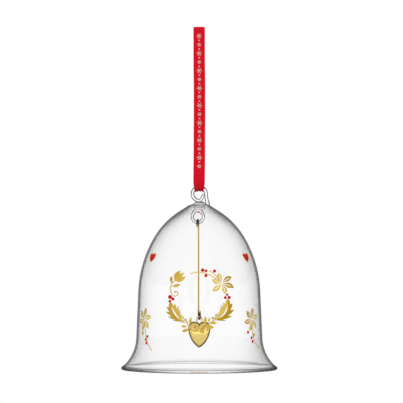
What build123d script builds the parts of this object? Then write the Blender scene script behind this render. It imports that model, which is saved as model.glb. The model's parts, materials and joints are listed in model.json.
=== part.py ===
"""Glass bell ornament on a ribbon loop, with a heart clapper on a hooked wire.

Millimetres, +Z up, X across the ribbon's face, the decorated front faces -Y.
The origin is the axis of the hook that the ribbon's top fold hangs on.
"""

import math
import os

from build123d import *

# ---- Ribbon loop -------------------------------------------------------------------
ribbon_width = 7.0
ribbon_thickness = 0.3
hook_radius = 1.5  # the hook or twig that fills the top fold
hanging_drop = 96.6  # hook axis down to the rod at the glass loop's top
fold_clearance = 0.25  # between the gathered fold and the glass rod
fold_width = 4.0  # the ribbon is gathered to this where it passes the glass loop
gather_height = 9.0  # over which it spreads to its full width again
lap_length = 9.0  # the two ends lie over each other and are sewn
lap_below_hook = 62.0
stitch_thickness = 0.25
stitch_length = 1.3
stitch_rows = 2
stitches_per_row = 4
stitch_fillet = 0.09

# ---- Glass bell --------------------------------------------------------------------
rim_radius = 47.5
bell_height = 102.2  # rim plane up to the crown's top
wall = 1.3
bead_radius = 0.95
lip_angle = 49.7  # of the lip at the rim, from the vertical
lip_arc_radius = 24.9
waist_angle = 2.5  # of the straight waist, from the vertical
breast_arc_radius = 70.9
breast_angle = 29.6  # where the breast's arc becomes the dome's
dome_arc_radius = 48.8
shoulder_angle = 57.7  # of the straight shoulder, from the vertical
neck_radius = 3.4
crown_top_radius = 2.9
crown_radius = 6.2
crown_rise = 0.8  # crown's top above the shoulder at the neck
plug_depth = 5.4  # crown's plug below the shoulder at the neck
plug_fillet = 1.19
crown_hollow = 1.15  # how far out the crown's hollow side passes the top's edge
crown_sag = 0.08  # and how far below the middle of its height

# ---- Glass loops -------------------------------------------------------------------
loop_radius = 4.2  # middle of the rod
loop_rod_radius = 1.08
loop_sink = 1.0  # how far the loop is melted into the crown
loop_pitch = 2.3
loop_turn = 325.0  # degrees from the rising rod to the rod's rounded end
clapper_loop_radius = 3.45
clapper_loop_rod_radius = 0.95
clapper_loop_sink = 0.7  # how far it is melted into the plug

# ---- Clapper -----------------------------------------------------------------------
hook_clearance = 0.25  # between a hook's inside and the glass rod it hangs on
wire_radius = 0.4
hook_turn = 17.0  # degrees of each hook's plane about the wire
upper_tail = 2.6  # free end of the upper hook
lower_tail = 3.9  # free end of the lower hook, up to its point
point_length = 1.3
bail_wire_radius = 0.45
bail_radius = 1.45
bail_straight = 1.3
bail_stem = 3.2  # stem soldered between the two halves
bail_sink = 1.2  # bail's lower bend below the tops of the heart's lobes
heart_width = 13.5
heart_height = 16.2
heart_depth = 7.0
heart_wall = 0.5
heart_layers = 6  # outlines from the seam to the flat of a half's face
heart_flat = 0.97  # where the last layer lies, as a share of the half's depth
heart_middle = 0.42  # the point the layers shrink to, below the lobes' tops, over the height
heart_fullness = 2.2  # power of the curve the layers shrink by
notch_fade = 0.8  # how much of the notch is gone at a half's face
tip_above_rim = 11.8

# ---- Fired prints ------------------------------------------------------------------
print_gap = 0.01
print_thickness = 0.08
wreath_above_rim = 41.0
wreath_radius = 17.4
side_turn = 60.0  # of the side motifs about the bell's axis
side_heart_above_rim = 67.6
side_heart_width = 6.8
side_heart_height = 5.6
side_heart_border = 0.45
side_flower_above_rim = 30.2
flower_radius = 7.6
stem_width = 0.55
berry_radius = 0.95
berry_gap = 0.06
print_sector = 100  # degrees of the bell that a drawing may reach over
petal_width = 0.42  # of a flower's radius
petal_start = 0.12  # of a flower's radius
vein_width = 0.2  # of a veined leaf's width
vein_start, vein_end = 0.16, 0.74  # along a veined leaf
curl_steps = 12
curl_tightening = 0.78  # how much of its radius a curl loses
blob_size = 0.95  # radius of a curl's end, in stem widths

# ---- Places that follow from the sizes ---------------------------------------------
swing_z = -hanging_drop
loop_z = swing_z - loop_radius
crown_top_z = loop_z - loop_radius - loop_rod_radius + loop_sink
neck_z = crown_top_z - crown_rise
rim_z = crown_top_z - bell_height
plug_z = neck_z - plug_depth
clapper_loop_z = plug_z + clapper_loop_sink - clapper_loop_rod_radius - clapper_loop_radius
clapper_swing_z = clapper_loop_z - clapper_loop_radius
hook_arc_radius = clapper_loop_rod_radius + hook_clearance + wire_radius
hook_x = hook_arc_radius * math.sin(math.radians(hook_turn))
hook_y = hook_arc_radius * math.cos(math.radians(hook_turn))
heart_tip_z = rim_z + tip_above_rim
heart_top_z = heart_tip_z + heart_height
bail_bottom_z = heart_top_z - bail_sink
heart_swing_z = bail_bottom_z + bail_straight + 2 * bail_radius
wreath_z = rim_z + wreath_above_rim
# how far the glass rod's underside is below its middle at the edges of the fold
rod_reach = loop_radius - math.sqrt((loop_radius - loop_rod_radius) ** 2 - (fold_width / 2) ** 2)
fold_radius = rod_reach + 2 * fold_clearance
fold_z = swing_z + fold_clearance


# ---- Small helpers -----------------------------------------------------------------
def rod(start, end, radius):
    """A straight round rod between two points."""
    line = Line(start, end)
    return sweep(Plane(origin=line @ 0, z_dir=line % 0) * Circle(radius), path=line)


def write(name, shape):
    """Writes one node's STEP file."""
    export_step(shape, f"parts/{name}.step")


# ---- Bell's outline ----------------------------------------------------------------
def arc_end(point, radius, start, end):
    """Where an arc from a point ends, its tangent turning from start to end.

    Angles are from the vertical, in radians. A negative radius is an arc that is
    hollow outside, as the lip is.
    """
    return (
        point[0] - radius * (math.cos(start) - math.cos(end)),
        point[1] + radius * (math.sin(end) - math.sin(start)),
    )


def outline(offset):
    """The outline's runs from the rim to the neck, in the XZ plane, moved out by offset.

    Lip arc, straight waist, breast arc, dome arc, straight shoulder. The waist's
    length takes up what the bell's height leaves.
    """
    lip, waist, breast, shoulder = (
        math.radians(angle) for angle in (lip_angle, waist_angle, breast_angle, shoulder_angle)
    )
    arcs = (
        (-lip_arc_radius, lip, waist),
        (breast_arc_radius, waist, breast),
        (dome_arc_radius, breast, shoulder),
    )
    point = (0.0, 0.0)
    for arc in arcs:
        point = arc_end(point, *arc)
    across = rim_radius + point[0] - neck_radius
    rise = neck_z - rim_z - point[1]
    waist_length = rise * math.sin(shoulder) - across * math.cos(shoulder)
    waist_length /= math.sin(shoulder - waist)

    def moved(place, angle):
        return (place[0] + offset * math.cos(angle), 0, place[1] + offset * math.sin(angle))

    runs = []
    point = (rim_radius, rim_z)
    for radius, start, end in arcs:
        middle = arc_end(point, radius, start, (start + end) / 2)
        last = arc_end(point, radius, start, end)
        runs.append(
            ThreePointArc(moved(point, start), moved(middle, (start + end) / 2), moved(last, end))
        )
        point = last
        if start == lip:
            point = (
                point[0] - waist_length * math.sin(waist),
                point[1] + waist_length * math.cos(waist),
            )
            runs.append(Line(moved(last, waist), moved(point, waist)))
    neck = (neck_radius, 0, neck_z + offset / math.sin(shoulder))
    return [*runs, Line(moved(point, shoulder), neck)]


def between(outer, inner):
    """The face between two outlines."""
    low = Line(outer[0] @ 0, inner[0] @ 0)
    high = Line(outer[-1] @ 1, inner[-1] @ 1)
    return Face(Wire([*outer, high, *inner, low]))


# ---- Glass parts -------------------------------------------------------------------
def make_bell_shell():
    """The blown wall with its fire-polished rim bead and the neck's hole."""
    section = between(outline(0), outline(-wall))
    bead = Plane(origin=outline(-wall / 2)[0] @ 0, z_dir=(0, -1, 0)) * Circle(bead_radius)
    return revolve(section + bead, Axis.Z, 360)


def make_crown(shell):
    """The solid glass crown: a cap on the shoulder and a plug through the neck."""
    slope = 1 / math.tan(math.radians(shoulder_angle))
    edge_z = neck_z - (crown_radius - neck_radius) * slope
    half_wall = wall / 2
    cap_top = Line((0, 0, crown_top_z), (crown_top_radius, 0, crown_top_z))
    cap_side = ThreePointArc(
        cap_top @ 1,
        (crown_top_radius + crown_hollow, 0, (crown_top_z + edge_z) / 2 - crown_sag),
        (crown_radius, 0, edge_z),
    )
    cap_back = Polyline(
        cap_side @ 1,
        (crown_radius, 0, edge_z - half_wall),
        (neck_radius, 0, neck_z - half_wall),
        (0, 0, neck_z - half_wall),
        cap_top @ 0,
    )
    cap = revolve(Face(Wire([cap_top, cap_side, *cap_back.edges()])), Axis.Z, 360)
    plug = Pos(0, 0, (neck_z - half_wall + plug_z) / 2) * Cylinder(
        neck_radius, neck_z - half_wall - plug_z
    )
    plug = fillet(plug.edges().sort_by(Axis.Z)[0], plug_fillet)
    return (cap + plug) - shell


def make_hanging_loop(crown, shell):
    """A glass rod that rises from the crown, turns once round and ends beside itself."""
    turn = Helix(pitch=loop_pitch, height=loop_pitch * loop_turn / 360, radius=loop_radius)
    turn = Pos(0, loop_pitch / 4, loop_z) * Rot(90, 0, 0) * turn
    curl = sweep(
        Plane(origin=turn @ 0, z_dir=turn % 0) * Circle(loop_rod_radius),
        path=turn,
        is_frenet=True,
    )
    end = Pos(*(turn @ 1)) * Sphere(loop_rod_radius)
    start = turn @ 0
    foot = (start.X, start.Y, neck_z - loop_rod_radius)
    knee = Pos(*start) * Sphere(loop_rod_radius)
    return (curl + end + knee + rod(foot, tuple(start), loop_rod_radius)) - crown - shell


def make_clapper_loop(crown):
    """The glass ring melted into the plug, inside the bell, over the upper hook."""
    ring = Torus(clapper_loop_radius, clapper_loop_rod_radius, rotation=(90, 0, 0))
    return Pos(-2 * hook_x, 0, clapper_loop_z) * ring - crown


# ---- Clapper parts -----------------------------------------------------------------
def make_hook(turn, up):
    """A half turn of wire and its free end, about a pivot at (0, 0, 0).

    The wire's straight length leaves at +Y. The arc goes over the pivot, or under it
    where up is -1, and the free end runs back along the wire.
    """
    r = hook_arc_radius
    tail = upper_tail if up > 0 else lower_tail
    arc = ThreePointArc((0, r, 0), (0, 0, up * r), (0, -r, 0))
    bend = sweep(Plane(origin=arc @ 0, z_dir=arc % 0) * Circle(wire_radius), path=arc)
    if up > 0:
        free = rod((0, -r, 0), (0, -r, -tail), wire_radius) + Pos(0, -r, -tail) * Sphere(wire_radius)
    else:
        free = rod((0, -r, 0), (0, -r, tail - point_length), wire_radius)
        free += Pos(0, -r, tail - point_length / 2) * Cone(wire_radius, wire_radius / 5, point_length)
    return Rot(0, 0, turn) * (bend + free)


def make_hooked_wire():
    """The straight wire with an open hook at each end, the two turned apart."""
    upper = Pos(-2 * hook_x, 0, clapper_swing_z) * make_hook(-hook_turn, 1)
    lower = Pos(0, 0, heart_swing_z) * make_hook(hook_turn, -1)
    straight = rod((-hook_x, hook_y, heart_swing_z), (-hook_x, hook_y, clapper_swing_z), wire_radius)
    return upper + straight + lower


def heart_outline(width, height, notch=1.0):
    """Points round a heart from its notch back to its notch, in the XZ plane.

    x is half the width times sin(t) to the power 2.8. z is a sum of four cosines of t
    that spans the height, with z 0 at the tops of the lobes. notch fades the cleft out.
    """
    points = []
    steps = 28
    for i in range(steps + 1):
        t = 2 * math.pi * i / steps
        side = math.copysign(abs(math.sin(t)) ** 2.8, math.sin(t))
        cleft = 0.145 * math.cos(2 * t) - 0.0095 * math.cos(4 * t)
        lift = 0.5236 * math.cos(t) - 0.0945 * math.cos(3 * t) - notch * cleft
        points.append((side * width / 2, (lift - 0.4354) * height))
    return points


def heart_half(width, height, depth):
    """Half of a puffed heart in front of the seam plane, lofted through smaller hearts."""
    centre_z = heart_top_z - heart_middle * heart_height
    sections = []
    for i in range(heart_layers):
        share = i / (heart_layers - 1) * heart_flat
        size = math.sqrt(1 - share**heart_fullness)
        outline_here = [
            (size * x, -share * depth / 2, centre_z + size * (z + heart_middle * height))
            for x, z in heart_outline(width, height, 1 - notch_fade * share)
        ]
        outline_here[-1] = outline_here[0]
        sections.append(Wire(Spline(*outline_here)))
    return Solid.make_loft([*sections])


def make_heart(bail):
    """The two stamped halves, soldered at the seam, cut to take the bail's stem."""
    skin = heart_half(heart_width, heart_height, heart_depth)
    hollow = heart_half(
        heart_width - 2 * heart_wall, heart_height - 2 * heart_wall, heart_depth - 2 * heart_wall
    )
    front = skin - hollow - bail
    back = front.mirror(Plane.XZ)
    return front, back


def make_bail():
    """The soldered hanging ring: two half bends, two straight sides and a stem."""
    r = bail_radius
    low_z, high_z = bail_bottom_z + r, heart_swing_z - r
    path = Wire(
        [
            ThreePointArc((r, 0, high_z), (0, 0, heart_swing_z), (-r, 0, high_z)),
            Line((-r, 0, high_z), (-r, 0, low_z)),
            ThreePointArc((-r, 0, low_z), (0, 0, bail_bottom_z), (r, 0, low_z)),
            Line((r, 0, low_z), (r, 0, high_z)),
        ]
    )
    ring = sweep(Plane(origin=(r, 0, high_z), z_dir=(0, 0, 1)) * Circle(bail_wire_radius), path=path)
    stem_end = (0, 0, bail_bottom_z - bail_stem)
    return ring + rod((0, 0, bail_bottom_z), stem_end, bail_wire_radius)


# ---- Ribbon parts ------------------------------------------------------------------
def belt(top_radius, low_radius):
    """A face in the YZ plane round the hook's circle and the fold's circle."""
    lean = (low_radius - top_radius) / -fold_z
    side = math.sqrt(1 - lean**2)
    corners = [
        (0, y * side * r, z + lean * r)
        for y, r, z in (
            (-1, top_radius, 0),
            (1, top_radius, 0),
            (1, low_radius, fold_z),
            (-1, low_radius, fold_z),
        )
    ]
    runs = [
        ThreePointArc(corners[0], (0, 0, top_radius), corners[1]),
        Line(corners[1], corners[2]),
        ThreePointArc(corners[2], (0, 0, fold_z - low_radius), corners[3]),
        Line(corners[3], corners[0]),
    ]
    return Face(Wire(runs))


def leg_y(z, radius_added):
    """Distance from the middle plane to a leg's face, at a height."""
    return hook_radius + radius_added + z / fold_z * (fold_radius - hook_radius)


def make_ribbon():
    """The ribbon as one closed band with its sewn lap, narrowed where it is gathered."""
    band = extrude(
        belt(hook_radius + ribbon_thickness, fold_radius + ribbon_thickness),
        ribbon_width / 2,
        dir=(1, 0, 0),
        both=True,
    )
    band -= extrude(belt(hook_radius, fold_radius), ribbon_width, dir=(1, 0, 0), both=True)
    low, high = -lap_below_hook - lap_length, -lap_below_hook
    lap = Polyline(
        (0, leg_y(high, ribbon_thickness / 2), high),
        (0, leg_y(high, 2 * ribbon_thickness), high),
        (0, leg_y(low, 2 * ribbon_thickness), low),
        (0, leg_y(low, ribbon_thickness / 2), low),
        close=True,
    )
    band += extrude(Face(Wire(lap.edges())), ribbon_width / 2, dir=(1, 0, 0), both=True)
    half, narrow = ribbon_width / 2, fold_width / 2
    reach = 2 * fold_radius
    face = Polyline(
        (-half, 0, reach),
        (half, 0, reach),
        (half, 0, swing_z + gather_height),
        (narrow, 0, swing_z + loop_rod_radius),
        (narrow, 0, swing_z - reach),
        (-narrow, 0, swing_z - reach),
        (-narrow, 0, swing_z + loop_rod_radius),
        (-half, 0, swing_z + gather_height),
        close=True,
    )
    return band & extrude(Face(Wire(face.edges())), reach, dir=(0, 1, 0), both=True)


def make_stitches():
    """Short thread bars across the lap, on its outer face."""
    bars = []
    column_step = ribbon_width / (stitches_per_row + 1)
    row_step = lap_length / (stitch_rows + 1)
    lean = math.degrees(math.atan((fold_radius - hook_radius) / -fold_z))
    for row in range(stitch_rows):
        z = -lap_below_hook - row_step * (row + 1)
        y = leg_y(z, 2 * ribbon_thickness) + stitch_thickness / 2
        for column in range(stitches_per_row):
            x = -ribbon_width / 2 + column_step * (column + 1)
            bar = Box(stitch_thickness, stitch_thickness, stitch_length)
            bar = fillet(bar.edges().group_by(Axis.Y)[-1], stitch_fillet)
            bars.append(Pos(x, y, z) * Rot(lean, 0, 0) * bar)
    return Compound(bars)


# ---- Fired prints ------------------------------------------------------------------
def leaf(start, end, width, bend=0.0):
    """A pointed leaf between two points, its middle moved sideways by bend."""
    a, b = Vector(*start), Vector(*end)
    side = (b - a).rotate(Axis.Z, 90).normalized()
    middle = (a + b) / 2 + side * bend
    edges = [
        ThreePointArc(a, middle + side * width / 2, b),
        ThreePointArc(b, middle - side * width / 2, a),
    ]
    return make_face(Wire(edges))


def veined_leaf(start, end, width, bend=0.0):
    """A leaf with a clear slit along its middle."""
    a, b = Vector(*start), Vector(*end)
    inner = leaf(
        a + (b - a) * vein_start, a + (b - a) * vein_end, width * vein_width, bend * 0.66
    )
    return leaf(start, end, width, bend) - inner


def toothed_leaf(start, end, width, bend, teeth=4):
    """A leaf with pointed teeth along both edges and a clear vein."""
    a, b = Vector(*start), Vector(*end)
    along = b - a
    side = along.rotate(Axis.Z, 90).normalized()

    def at(u, across):
        return a + along * u + side * (bend * 4 * u * (1 - u) + across)

    edge = []
    for i in range(teeth):
        u = (i + 0.55) / (teeth + 0.4)
        reach = width / 2 * math.sin(math.pi * (0.12 + 0.8 * u)) ** 0.8
        edge += [(u, 0.62 * reach), (u + 0.11, reach * 1.12)]
    points = [at(0, 0), *(at(u, w) for u, w in edge), at(1, 0)]
    points += [at(u, -w) for u, w in reversed(edge)]
    blade = make_face(Polyline(*points, close=True))
    return blade - leaf(at(0.1, 0), at(0.8, 0), width * 0.11, bend * 0.72)


def stem(*points, width=stem_width):
    """A thin line along an arc or a smooth curve through the points."""
    path = ThreePointArc(*points) if len(points) == 3 else Spline(*points)
    return trace(path, width)


def curl(centre, radius, start_angle, turns, hand=1):
    """A spiral line that tightens to a round blob at its centre."""
    points = []
    for i in range(curl_steps + 1):
        share = i / curl_steps
        angle = math.radians(start_angle) + hand * share * turns * 2 * math.pi
        r = radius * (1 - curl_tightening * share)
        points.append((centre[0] + r * math.cos(angle), centre[1] + r * math.sin(angle)))
    blob = Pos(*points[-1]) * Circle(stem_width * blob_size)
    return trace(Spline(*points), stem_width) + blob


def flower(centre, radius, petals=6, turn=0.0):
    """A ring of veined petals."""
    found = []
    for i in range(petals):
        angle = math.radians(turn + 360 / petals * i)
        way = Vector(math.cos(angle), math.sin(angle))
        found.append(
            veined_leaf(
                tuple(Vector(*centre) + way * radius * petal_start),
                tuple(Vector(*centre) + way * radius),
                radius * petal_width,
                radius * 0.05,
            )
        )
    return Sketch() + found


def bud(base, way, length):
    """Three fanned petals on a rounded base."""
    angle = math.radians(way)
    a = Vector(*base)
    petals = [
        leaf(
            tuple(a),
            tuple(a + Vector(math.cos(angle + fan), math.sin(angle + fan)) * length * reach),
            length * 0.46,
            curve * length,
        )
        for fan, reach, curve in ((0.0, 1.0, 0.0), (0.42, 0.98, 0.1), (-0.42, 0.98, -0.1))
    ]
    cup = Pos(*tuple(a + Vector(math.cos(angle), math.sin(angle)) * length * 0.36)) * Circle(
        length * 0.3
    )
    return Sketch() + petals + cup


def ring_berry(centre, radius):
    """A berry drawn as an open circle."""
    return Pos(*centre) * (Circle(radius) - Circle(radius - stem_width * 0.75))


def berries(places, grown=0.0):
    """Round berries, as (x, z, share of the usual radius)."""
    return Sketch() + [Pos(x, z) * Circle(berry_radius * size + grown) for x, z, size in places]


def round_wreath(degrees, radius=1.0):
    """A point on the wreath's circle, clockwise from the top."""
    angle = math.radians(90 - degrees)
    return (wreath_radius * radius * math.cos(angle), wreath_radius * radius * math.sin(angle))


wreath_berries = [
    (*round_wreath(7, 1.1), 1.0),
    (*round_wreath(15, 1.13), 0.95),
    (*round_wreath(14, 0.93), 1.0),
    (*round_wreath(31, 1.17), 0.95),
    (*round_wreath(76, 1.0), 0.8),
    (*round_wreath(83, 0.92), 0.95),
    (*round_wreath(83, 1.06), 1.0),
    (*round_wreath(-84, 1.05), 1.2),
    (*round_wreath(-87, 0.92), 1.05),
    (*round_wreath(-92, 1.05), 0.9),
]


def make_wreath_gold():
    """The front wreath's gold, drawn round its centre."""
    at = round_wreath
    shapes = [
        # upper right: a long twig, a short one and the flower
        stem(at(-18, 0.98), at(12, 1.03), at(40, 0.95)),
        stem(at(20, 1.15), at(30, 1.12), at(44, 0.98)),
        flower(at(52, 1.0), flower_radius, turn=12),
        # upper left: bud, two leaves and a curled stem
        bud(at(-52, 1.0), 42, 7.2),
        stem(at(-52, 1.0), at(-62, 1.06), at(-74, 1.07), at(-82, 0.96)),
        curl(at(-73, 0.83), 2.3, 235, 0.95),
        leaf(at(-62, 1.05), at(-57, 1.26), 1.9, 0.2),
        leaf(at(-67, 1.04), at(-56, 0.78), 2.1, -0.3),
        # toothed leaves on both sides
        toothed_leaf(at(-94, 1.04), at(-145, 1.02), 7.6, -2.4),
        toothed_leaf(at(90, 1.02), at(143, 1.02), 7.6, 2.4),
    ]
    for hand in (-1, 1):
        shapes += [
            # sprays of open berries, small leaves and the curls at the bottom
            ring_berry(at(hand * 140, 0.86), 1.35),
            ring_berry(at(hand * 147, 0.78), 1.1),
            ring_berry(at(hand * 148, 0.93), 1.1),
            stem(at(hand * 149, 0.87), at(hand * 158, 0.92), at(hand * 166, 1.0)),
            leaf(at(hand * 156, 0.9), at(hand * 154, 0.7), 1.5),
            leaf(at(hand * 157, 0.92), at(hand * 148, 1.12), 1.7),
            leaf(at(hand * 164, 0.98), at(hand * 152, 1.22), 2.1, hand * 0.2),
            leaf(at(hand * 165, 0.98), at(hand * 162, 0.62), 1.9),
            curl(at(hand * 173, 1.04), 2.5, 90 - hand * 80, 1.1, -hand),
        ]
    gold = Sketch() + shapes
    return gold - berries(wreath_berries, berry_gap)


sprig_berries = [(3.4, -11.4, 0.95), (1.4, -13.0, 0.95), (3.2, -15.2, 0.95), (-3.4, -9.4, 0.85)]


def make_sprig_gold():
    """One side sprig's gold, drawn round its flower."""
    shapes = [
        flower((0, 0), flower_radius, turn=4),
        stem((0.4, -2), (2.2, -11.2), (10.6, -19.4)),
        stem((-0.6, -2), (-2.4, -7.5), (-1.6, -11.6), width=stem_width * 0.9),
    ]
    return (Sketch() + shapes) - berries(sprig_berries, berry_gap)


def heart_face(width, height):
    """A flat heart centred on its box."""
    points = [(x, z + height / 2) for x, z in heart_outline(width, height)]
    points[-1] = points[0]
    return make_face(Spline(*points))


def make_print(sketch, z, turns=(0.0,)):
    """Lays a flat drawing, seen from the front, on the bell's outside as a thin layer."""
    layer = between(outline(print_gap + print_thickness), outline(print_gap))
    layer = Rot(0, 0, -90 - print_sector / 2) * revolve(layer, Axis.Z, print_sector)
    block = extrude(sketch, 2 * rim_radius)
    laid = (Pos(0, 0, z) * Rot(90, 0, 0) * block) & layer
    return Compound([Rot(0, 0, turn) * solid for turn in turns for solid in laid.solids()])


def make_prints():
    """Every print as (name, solids): gold and red kept apart."""
    sides = (-side_turn, side_turn)
    heart_z = rim_z + side_heart_above_rim
    flower_z = rim_z + side_flower_above_rim
    border = side_heart_border
    red_heart = heart_face(side_heart_width - 2 * border, side_heart_height - 2 * border)
    red_gap = heart_face(
        side_heart_width - 2 * (border - berry_gap), side_heart_height - 2 * (border - berry_gap)
    )
    return {
        "wreath_gold_print": make_print(make_wreath_gold(), wreath_z),
        "wreath_berries_print": make_print(berries(wreath_berries), wreath_z),
        "sprig_gold_print": make_print(make_sprig_gold(), flower_z, sides),
        "sprig_berries_print": make_print(berries(sprig_berries), flower_z, sides),
        "heart_outline_print": make_print(
            heart_face(side_heart_width, side_heart_height) - red_gap, heart_z, sides
        ),
        "heart_red_print": make_print(red_heart, heart_z, sides),
    }


# ---- The assembly ------------------------------------------------------------------
def main():
    """Builds every node and writes it."""
    os.makedirs("parts", exist_ok=True)
    shell = make_bell_shell()
    crown = make_crown(shell)
    bail = make_bail()
    front, back = make_heart(bail)
    nodes = {
        "bell_shell": shell,
        "crown_plug": crown,
        "hanging_loop": make_hanging_loop(crown, shell),
        "clapper_loop": make_clapper_loop(crown),
        "hooked_wire": make_hooked_wire(),
        "heart_bail": bail,
        "heart_front": front,
        "heart_back": back,
        "ribbon_loop": make_ribbon(),
        "seam_stitches": make_stitches(),
        **make_prints(),
    }
    for name, shape in nodes.items():
        write(name, shape)


main()
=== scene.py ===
"""Looks of a blown glass bell ornament on a satin ribbon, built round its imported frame.

Metres, +Z up, +X across the ribbon's face; the decorated front faces -Y. The origin is
the axis of the hook that the ribbon's top fold hangs on. Drawings of the fired prints
are in millimetres, as complex numbers: real part to the right, imaginary part up.
"""

import json
import math

import bmesh
import bpy
import numpy as np
from bpy.props import FloatProperty, FloatVectorProperty, PointerProperty
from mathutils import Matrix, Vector


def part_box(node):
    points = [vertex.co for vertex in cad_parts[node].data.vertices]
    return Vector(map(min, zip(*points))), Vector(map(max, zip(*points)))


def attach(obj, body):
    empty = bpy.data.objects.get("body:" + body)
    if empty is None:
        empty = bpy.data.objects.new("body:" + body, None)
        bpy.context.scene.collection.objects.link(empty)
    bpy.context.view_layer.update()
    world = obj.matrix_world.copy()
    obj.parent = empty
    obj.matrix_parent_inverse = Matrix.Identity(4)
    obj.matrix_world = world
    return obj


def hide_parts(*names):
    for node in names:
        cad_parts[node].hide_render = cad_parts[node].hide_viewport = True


bl_info = {
    "name": "Glass Bell Ornament",
    "version": (1, 0, 0),
    "blender": (4, 5, 0),
    "location": "3D View > Sidebar > Ornament",
    "description": "Builds a printed glass bell with a heart clapper on a satin ribbon",
    "category": "Object",
}

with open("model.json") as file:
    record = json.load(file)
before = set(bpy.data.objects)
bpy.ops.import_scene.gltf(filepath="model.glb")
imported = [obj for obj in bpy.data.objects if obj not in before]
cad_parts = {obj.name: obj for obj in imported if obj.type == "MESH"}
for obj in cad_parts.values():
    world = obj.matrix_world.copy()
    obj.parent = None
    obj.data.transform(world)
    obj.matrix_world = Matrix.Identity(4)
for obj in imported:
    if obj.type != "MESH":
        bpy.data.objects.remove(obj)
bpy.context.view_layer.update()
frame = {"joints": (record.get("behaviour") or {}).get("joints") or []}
JOINTS = {joint["name"]: np.array(joint["pos_m"]) for joint in frame["joints"]}
MM = 0.001
TAU = 2 * math.pi


# ---- Settings ----------------------------------------------------------------------
def length(name, description, millimetres):
    """A size in metres whose default is given in millimetres."""
    return FloatProperty(
        name=name, description=description, default=millimetres * MM, precision=5, unit="LENGTH"
    )


def angle(name, description, degrees):
    """An angle whose default is given in degrees."""
    return FloatProperty(
        name=name, description=description, default=math.radians(degrees), unit="ROTATION"
    )


def colour(name, description, red, green, blue):
    """A colour whose default is given as screen values from 0 to 255."""
    screen = np.array([red, green, blue]) / 255
    linear = np.where(screen > 0.04, ((screen + 0.055) / 1.055) ** 2.4, screen / 12.92).tolist()
    return FloatVectorProperty(
        name=name, description=description, default=linear, size=3, min=0, max=1, subtype="COLOR"
    )


class GlassSettings(bpy.types.PropertyGroup):
    """Sizes of the blown glass, and its tint."""

    rim_radius: length("Rim radius", "Outside of the wall at the rim", 47.5)
    wall: length("Wall", "Thickness of the blown wall", 1.3)
    bead_radius: length("Rim bead", "Radius of the fire-polished rim", 0.95)
    lip_angle: angle("Lip angle", "Lean of the lip at the rim, from the vertical", 49.7)
    lip_arc: length("Lip arc", "Radius of the lip's hollow arc", 24.9)
    waist_angle: angle("Waist angle", "Lean of the straight waist", 2.5)
    breast_arc: length("Breast arc", "Radius of the arc above the waist", 70.9)
    breast_angle: angle("Breast angle", "Lean where the breast meets the dome", 29.6)
    dome_arc: length("Dome arc", "Radius of the dome's arc", 48.8)
    shoulder_angle: angle("Shoulder angle", "Lean of the straight shoulder", 57.7)
    neck_radius: length("Neck radius", "Radius of the plug through the neck", 3.4)
    crown_rise: length("Crown rise", "Crown's top above the shoulder at the neck", 0.8)
    crown_radius: length("Crown radius", "Where the crown meets the shoulder", 6.2)
    crown_top_radius: length("Crown top", "Radius of the crown's flat top", 2.9)
    crown_dome: length("Crown dome", "Rise of the cap over the crown's top", 0.9)
    plug_ridge: length("Plug ridge", "How far the plug's two ridges stand out", 0.62)
    loop_radius: length("Loop radius", "Middle of the hanging loop's rod", 4.2)
    loop_rod: length("Loop rod", "Radius of the hanging loop's rod", 1.08)
    loop_pitch: length("Loop pitch", "How far the loop's rod passes itself in a turn", 2.3)
    loop_turn: angle("Loop turn", "How far the loop's rod goes round", 255)
    foot_lean: length("Foot lean", "How far the loop's foot stands out", 0.9)
    ring_radius: length("Ring radius", "Middle of the rod of the ring inside", 3.45)
    ring_rod: length("Ring rod", "Radius of the rod of the ring inside", 0.95)
    # painted shade: the dark colour drawn where the glass is seen edge on, in place of the dark
    # surroundings it reflects there
    edge_shade: colour("Edge tone", "Colour of the glass where it is seen edge on", 46, 48, 50)


class PrintSettings(bpy.types.PropertyGroup):
    """Places and colours of the fired prints."""

    lift: length("Lift", "Print's underside above the glass", 0.012)
    film: length("Film", "Thickness of the fired print", 0.05)
    wreath_height: length("Wreath height", "Wreath's centre above the rim", 41.0)
    wreath_radius: length("Wreath radius", "Radius of the wreath's circle", 17.4)
    left_turn: angle("Left turn", "Left sprig about the bell's axis", -61)
    right_turn: angle("Right turn", "Right sprig about the bell's axis", 56.5)
    sprig_height: length("Sprig height", "Side sprig's flower above the rim", 30.2)
    heart_height: length("Heart height", "Side heart's middle above the rim", 67.6)
    heart_turn: angle("Heart turn", "Side hearts about the bell's axis", 59)
    heart_width: length("Heart width", "Side heart's width, drawn flat", 6.8)
    heart_tall: length("Heart size", "Side heart's height, drawn flat", 5.6)
    berry_dome: length("Berry dome", "Height of an enamel berry's middle", 0.14)
    pale_gold: colour("Pale gold", "Thin end of the gold", 236, 206, 100)
    deep_gold: colour("Deep gold", "Thick end of the gold", 186, 146, 0)
    enamel: colour("Enamel", "Red of the berries and hearts", 204, 0, 22)


class ClapperSettings(bpy.types.PropertyGroup):
    """Sizes of the heart, its hanging ring and the hooked wire."""

    wire_radius: length("Wire radius", "Radius of the hooked wire", 0.4)
    hook_arc: length("Hook arc", "Middle of the wire round a hook's bend", 1.6)
    hook_turn: angle("Hook turn", "Hook's plane about the wire", 17)
    upper_tail: length("Upper tail", "Free end of the upper hook", 2.6)
    lower_tail: length("Lower tail", "Free end of the lower hook, to its point", 3.9)
    point: length("Point", "Length of the lower hook's tapered point", 1.3)
    bail_wire: length("Bail wire", "Radius of the hanging ring's wire", 0.45)
    bail_radius: length("Bail radius", "Middle of the wire round the ring's ends", 1.45)
    bail_stem: length("Bail stem", "Stem between the heart's two halves", 3.2)
    seam: length("Seam", "How far the soldered seam stands out", 0.07)
    plate: colour("Gold plate", "Colour of the plated metal", 248, 222, 134)
    wire: colour("Wire", "Colour of the wire's plating", 196, 162, 56)
    # painted shade: dark brown matt colour drawn where the metal is seen edge on, in place of the dark
    # surroundings it reflects; the wire's hooks are drawn in it all over
    metal_shade: colour("Metal shade", "Colour of the metal where it is seen edge on", 58, 30, 6)


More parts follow.
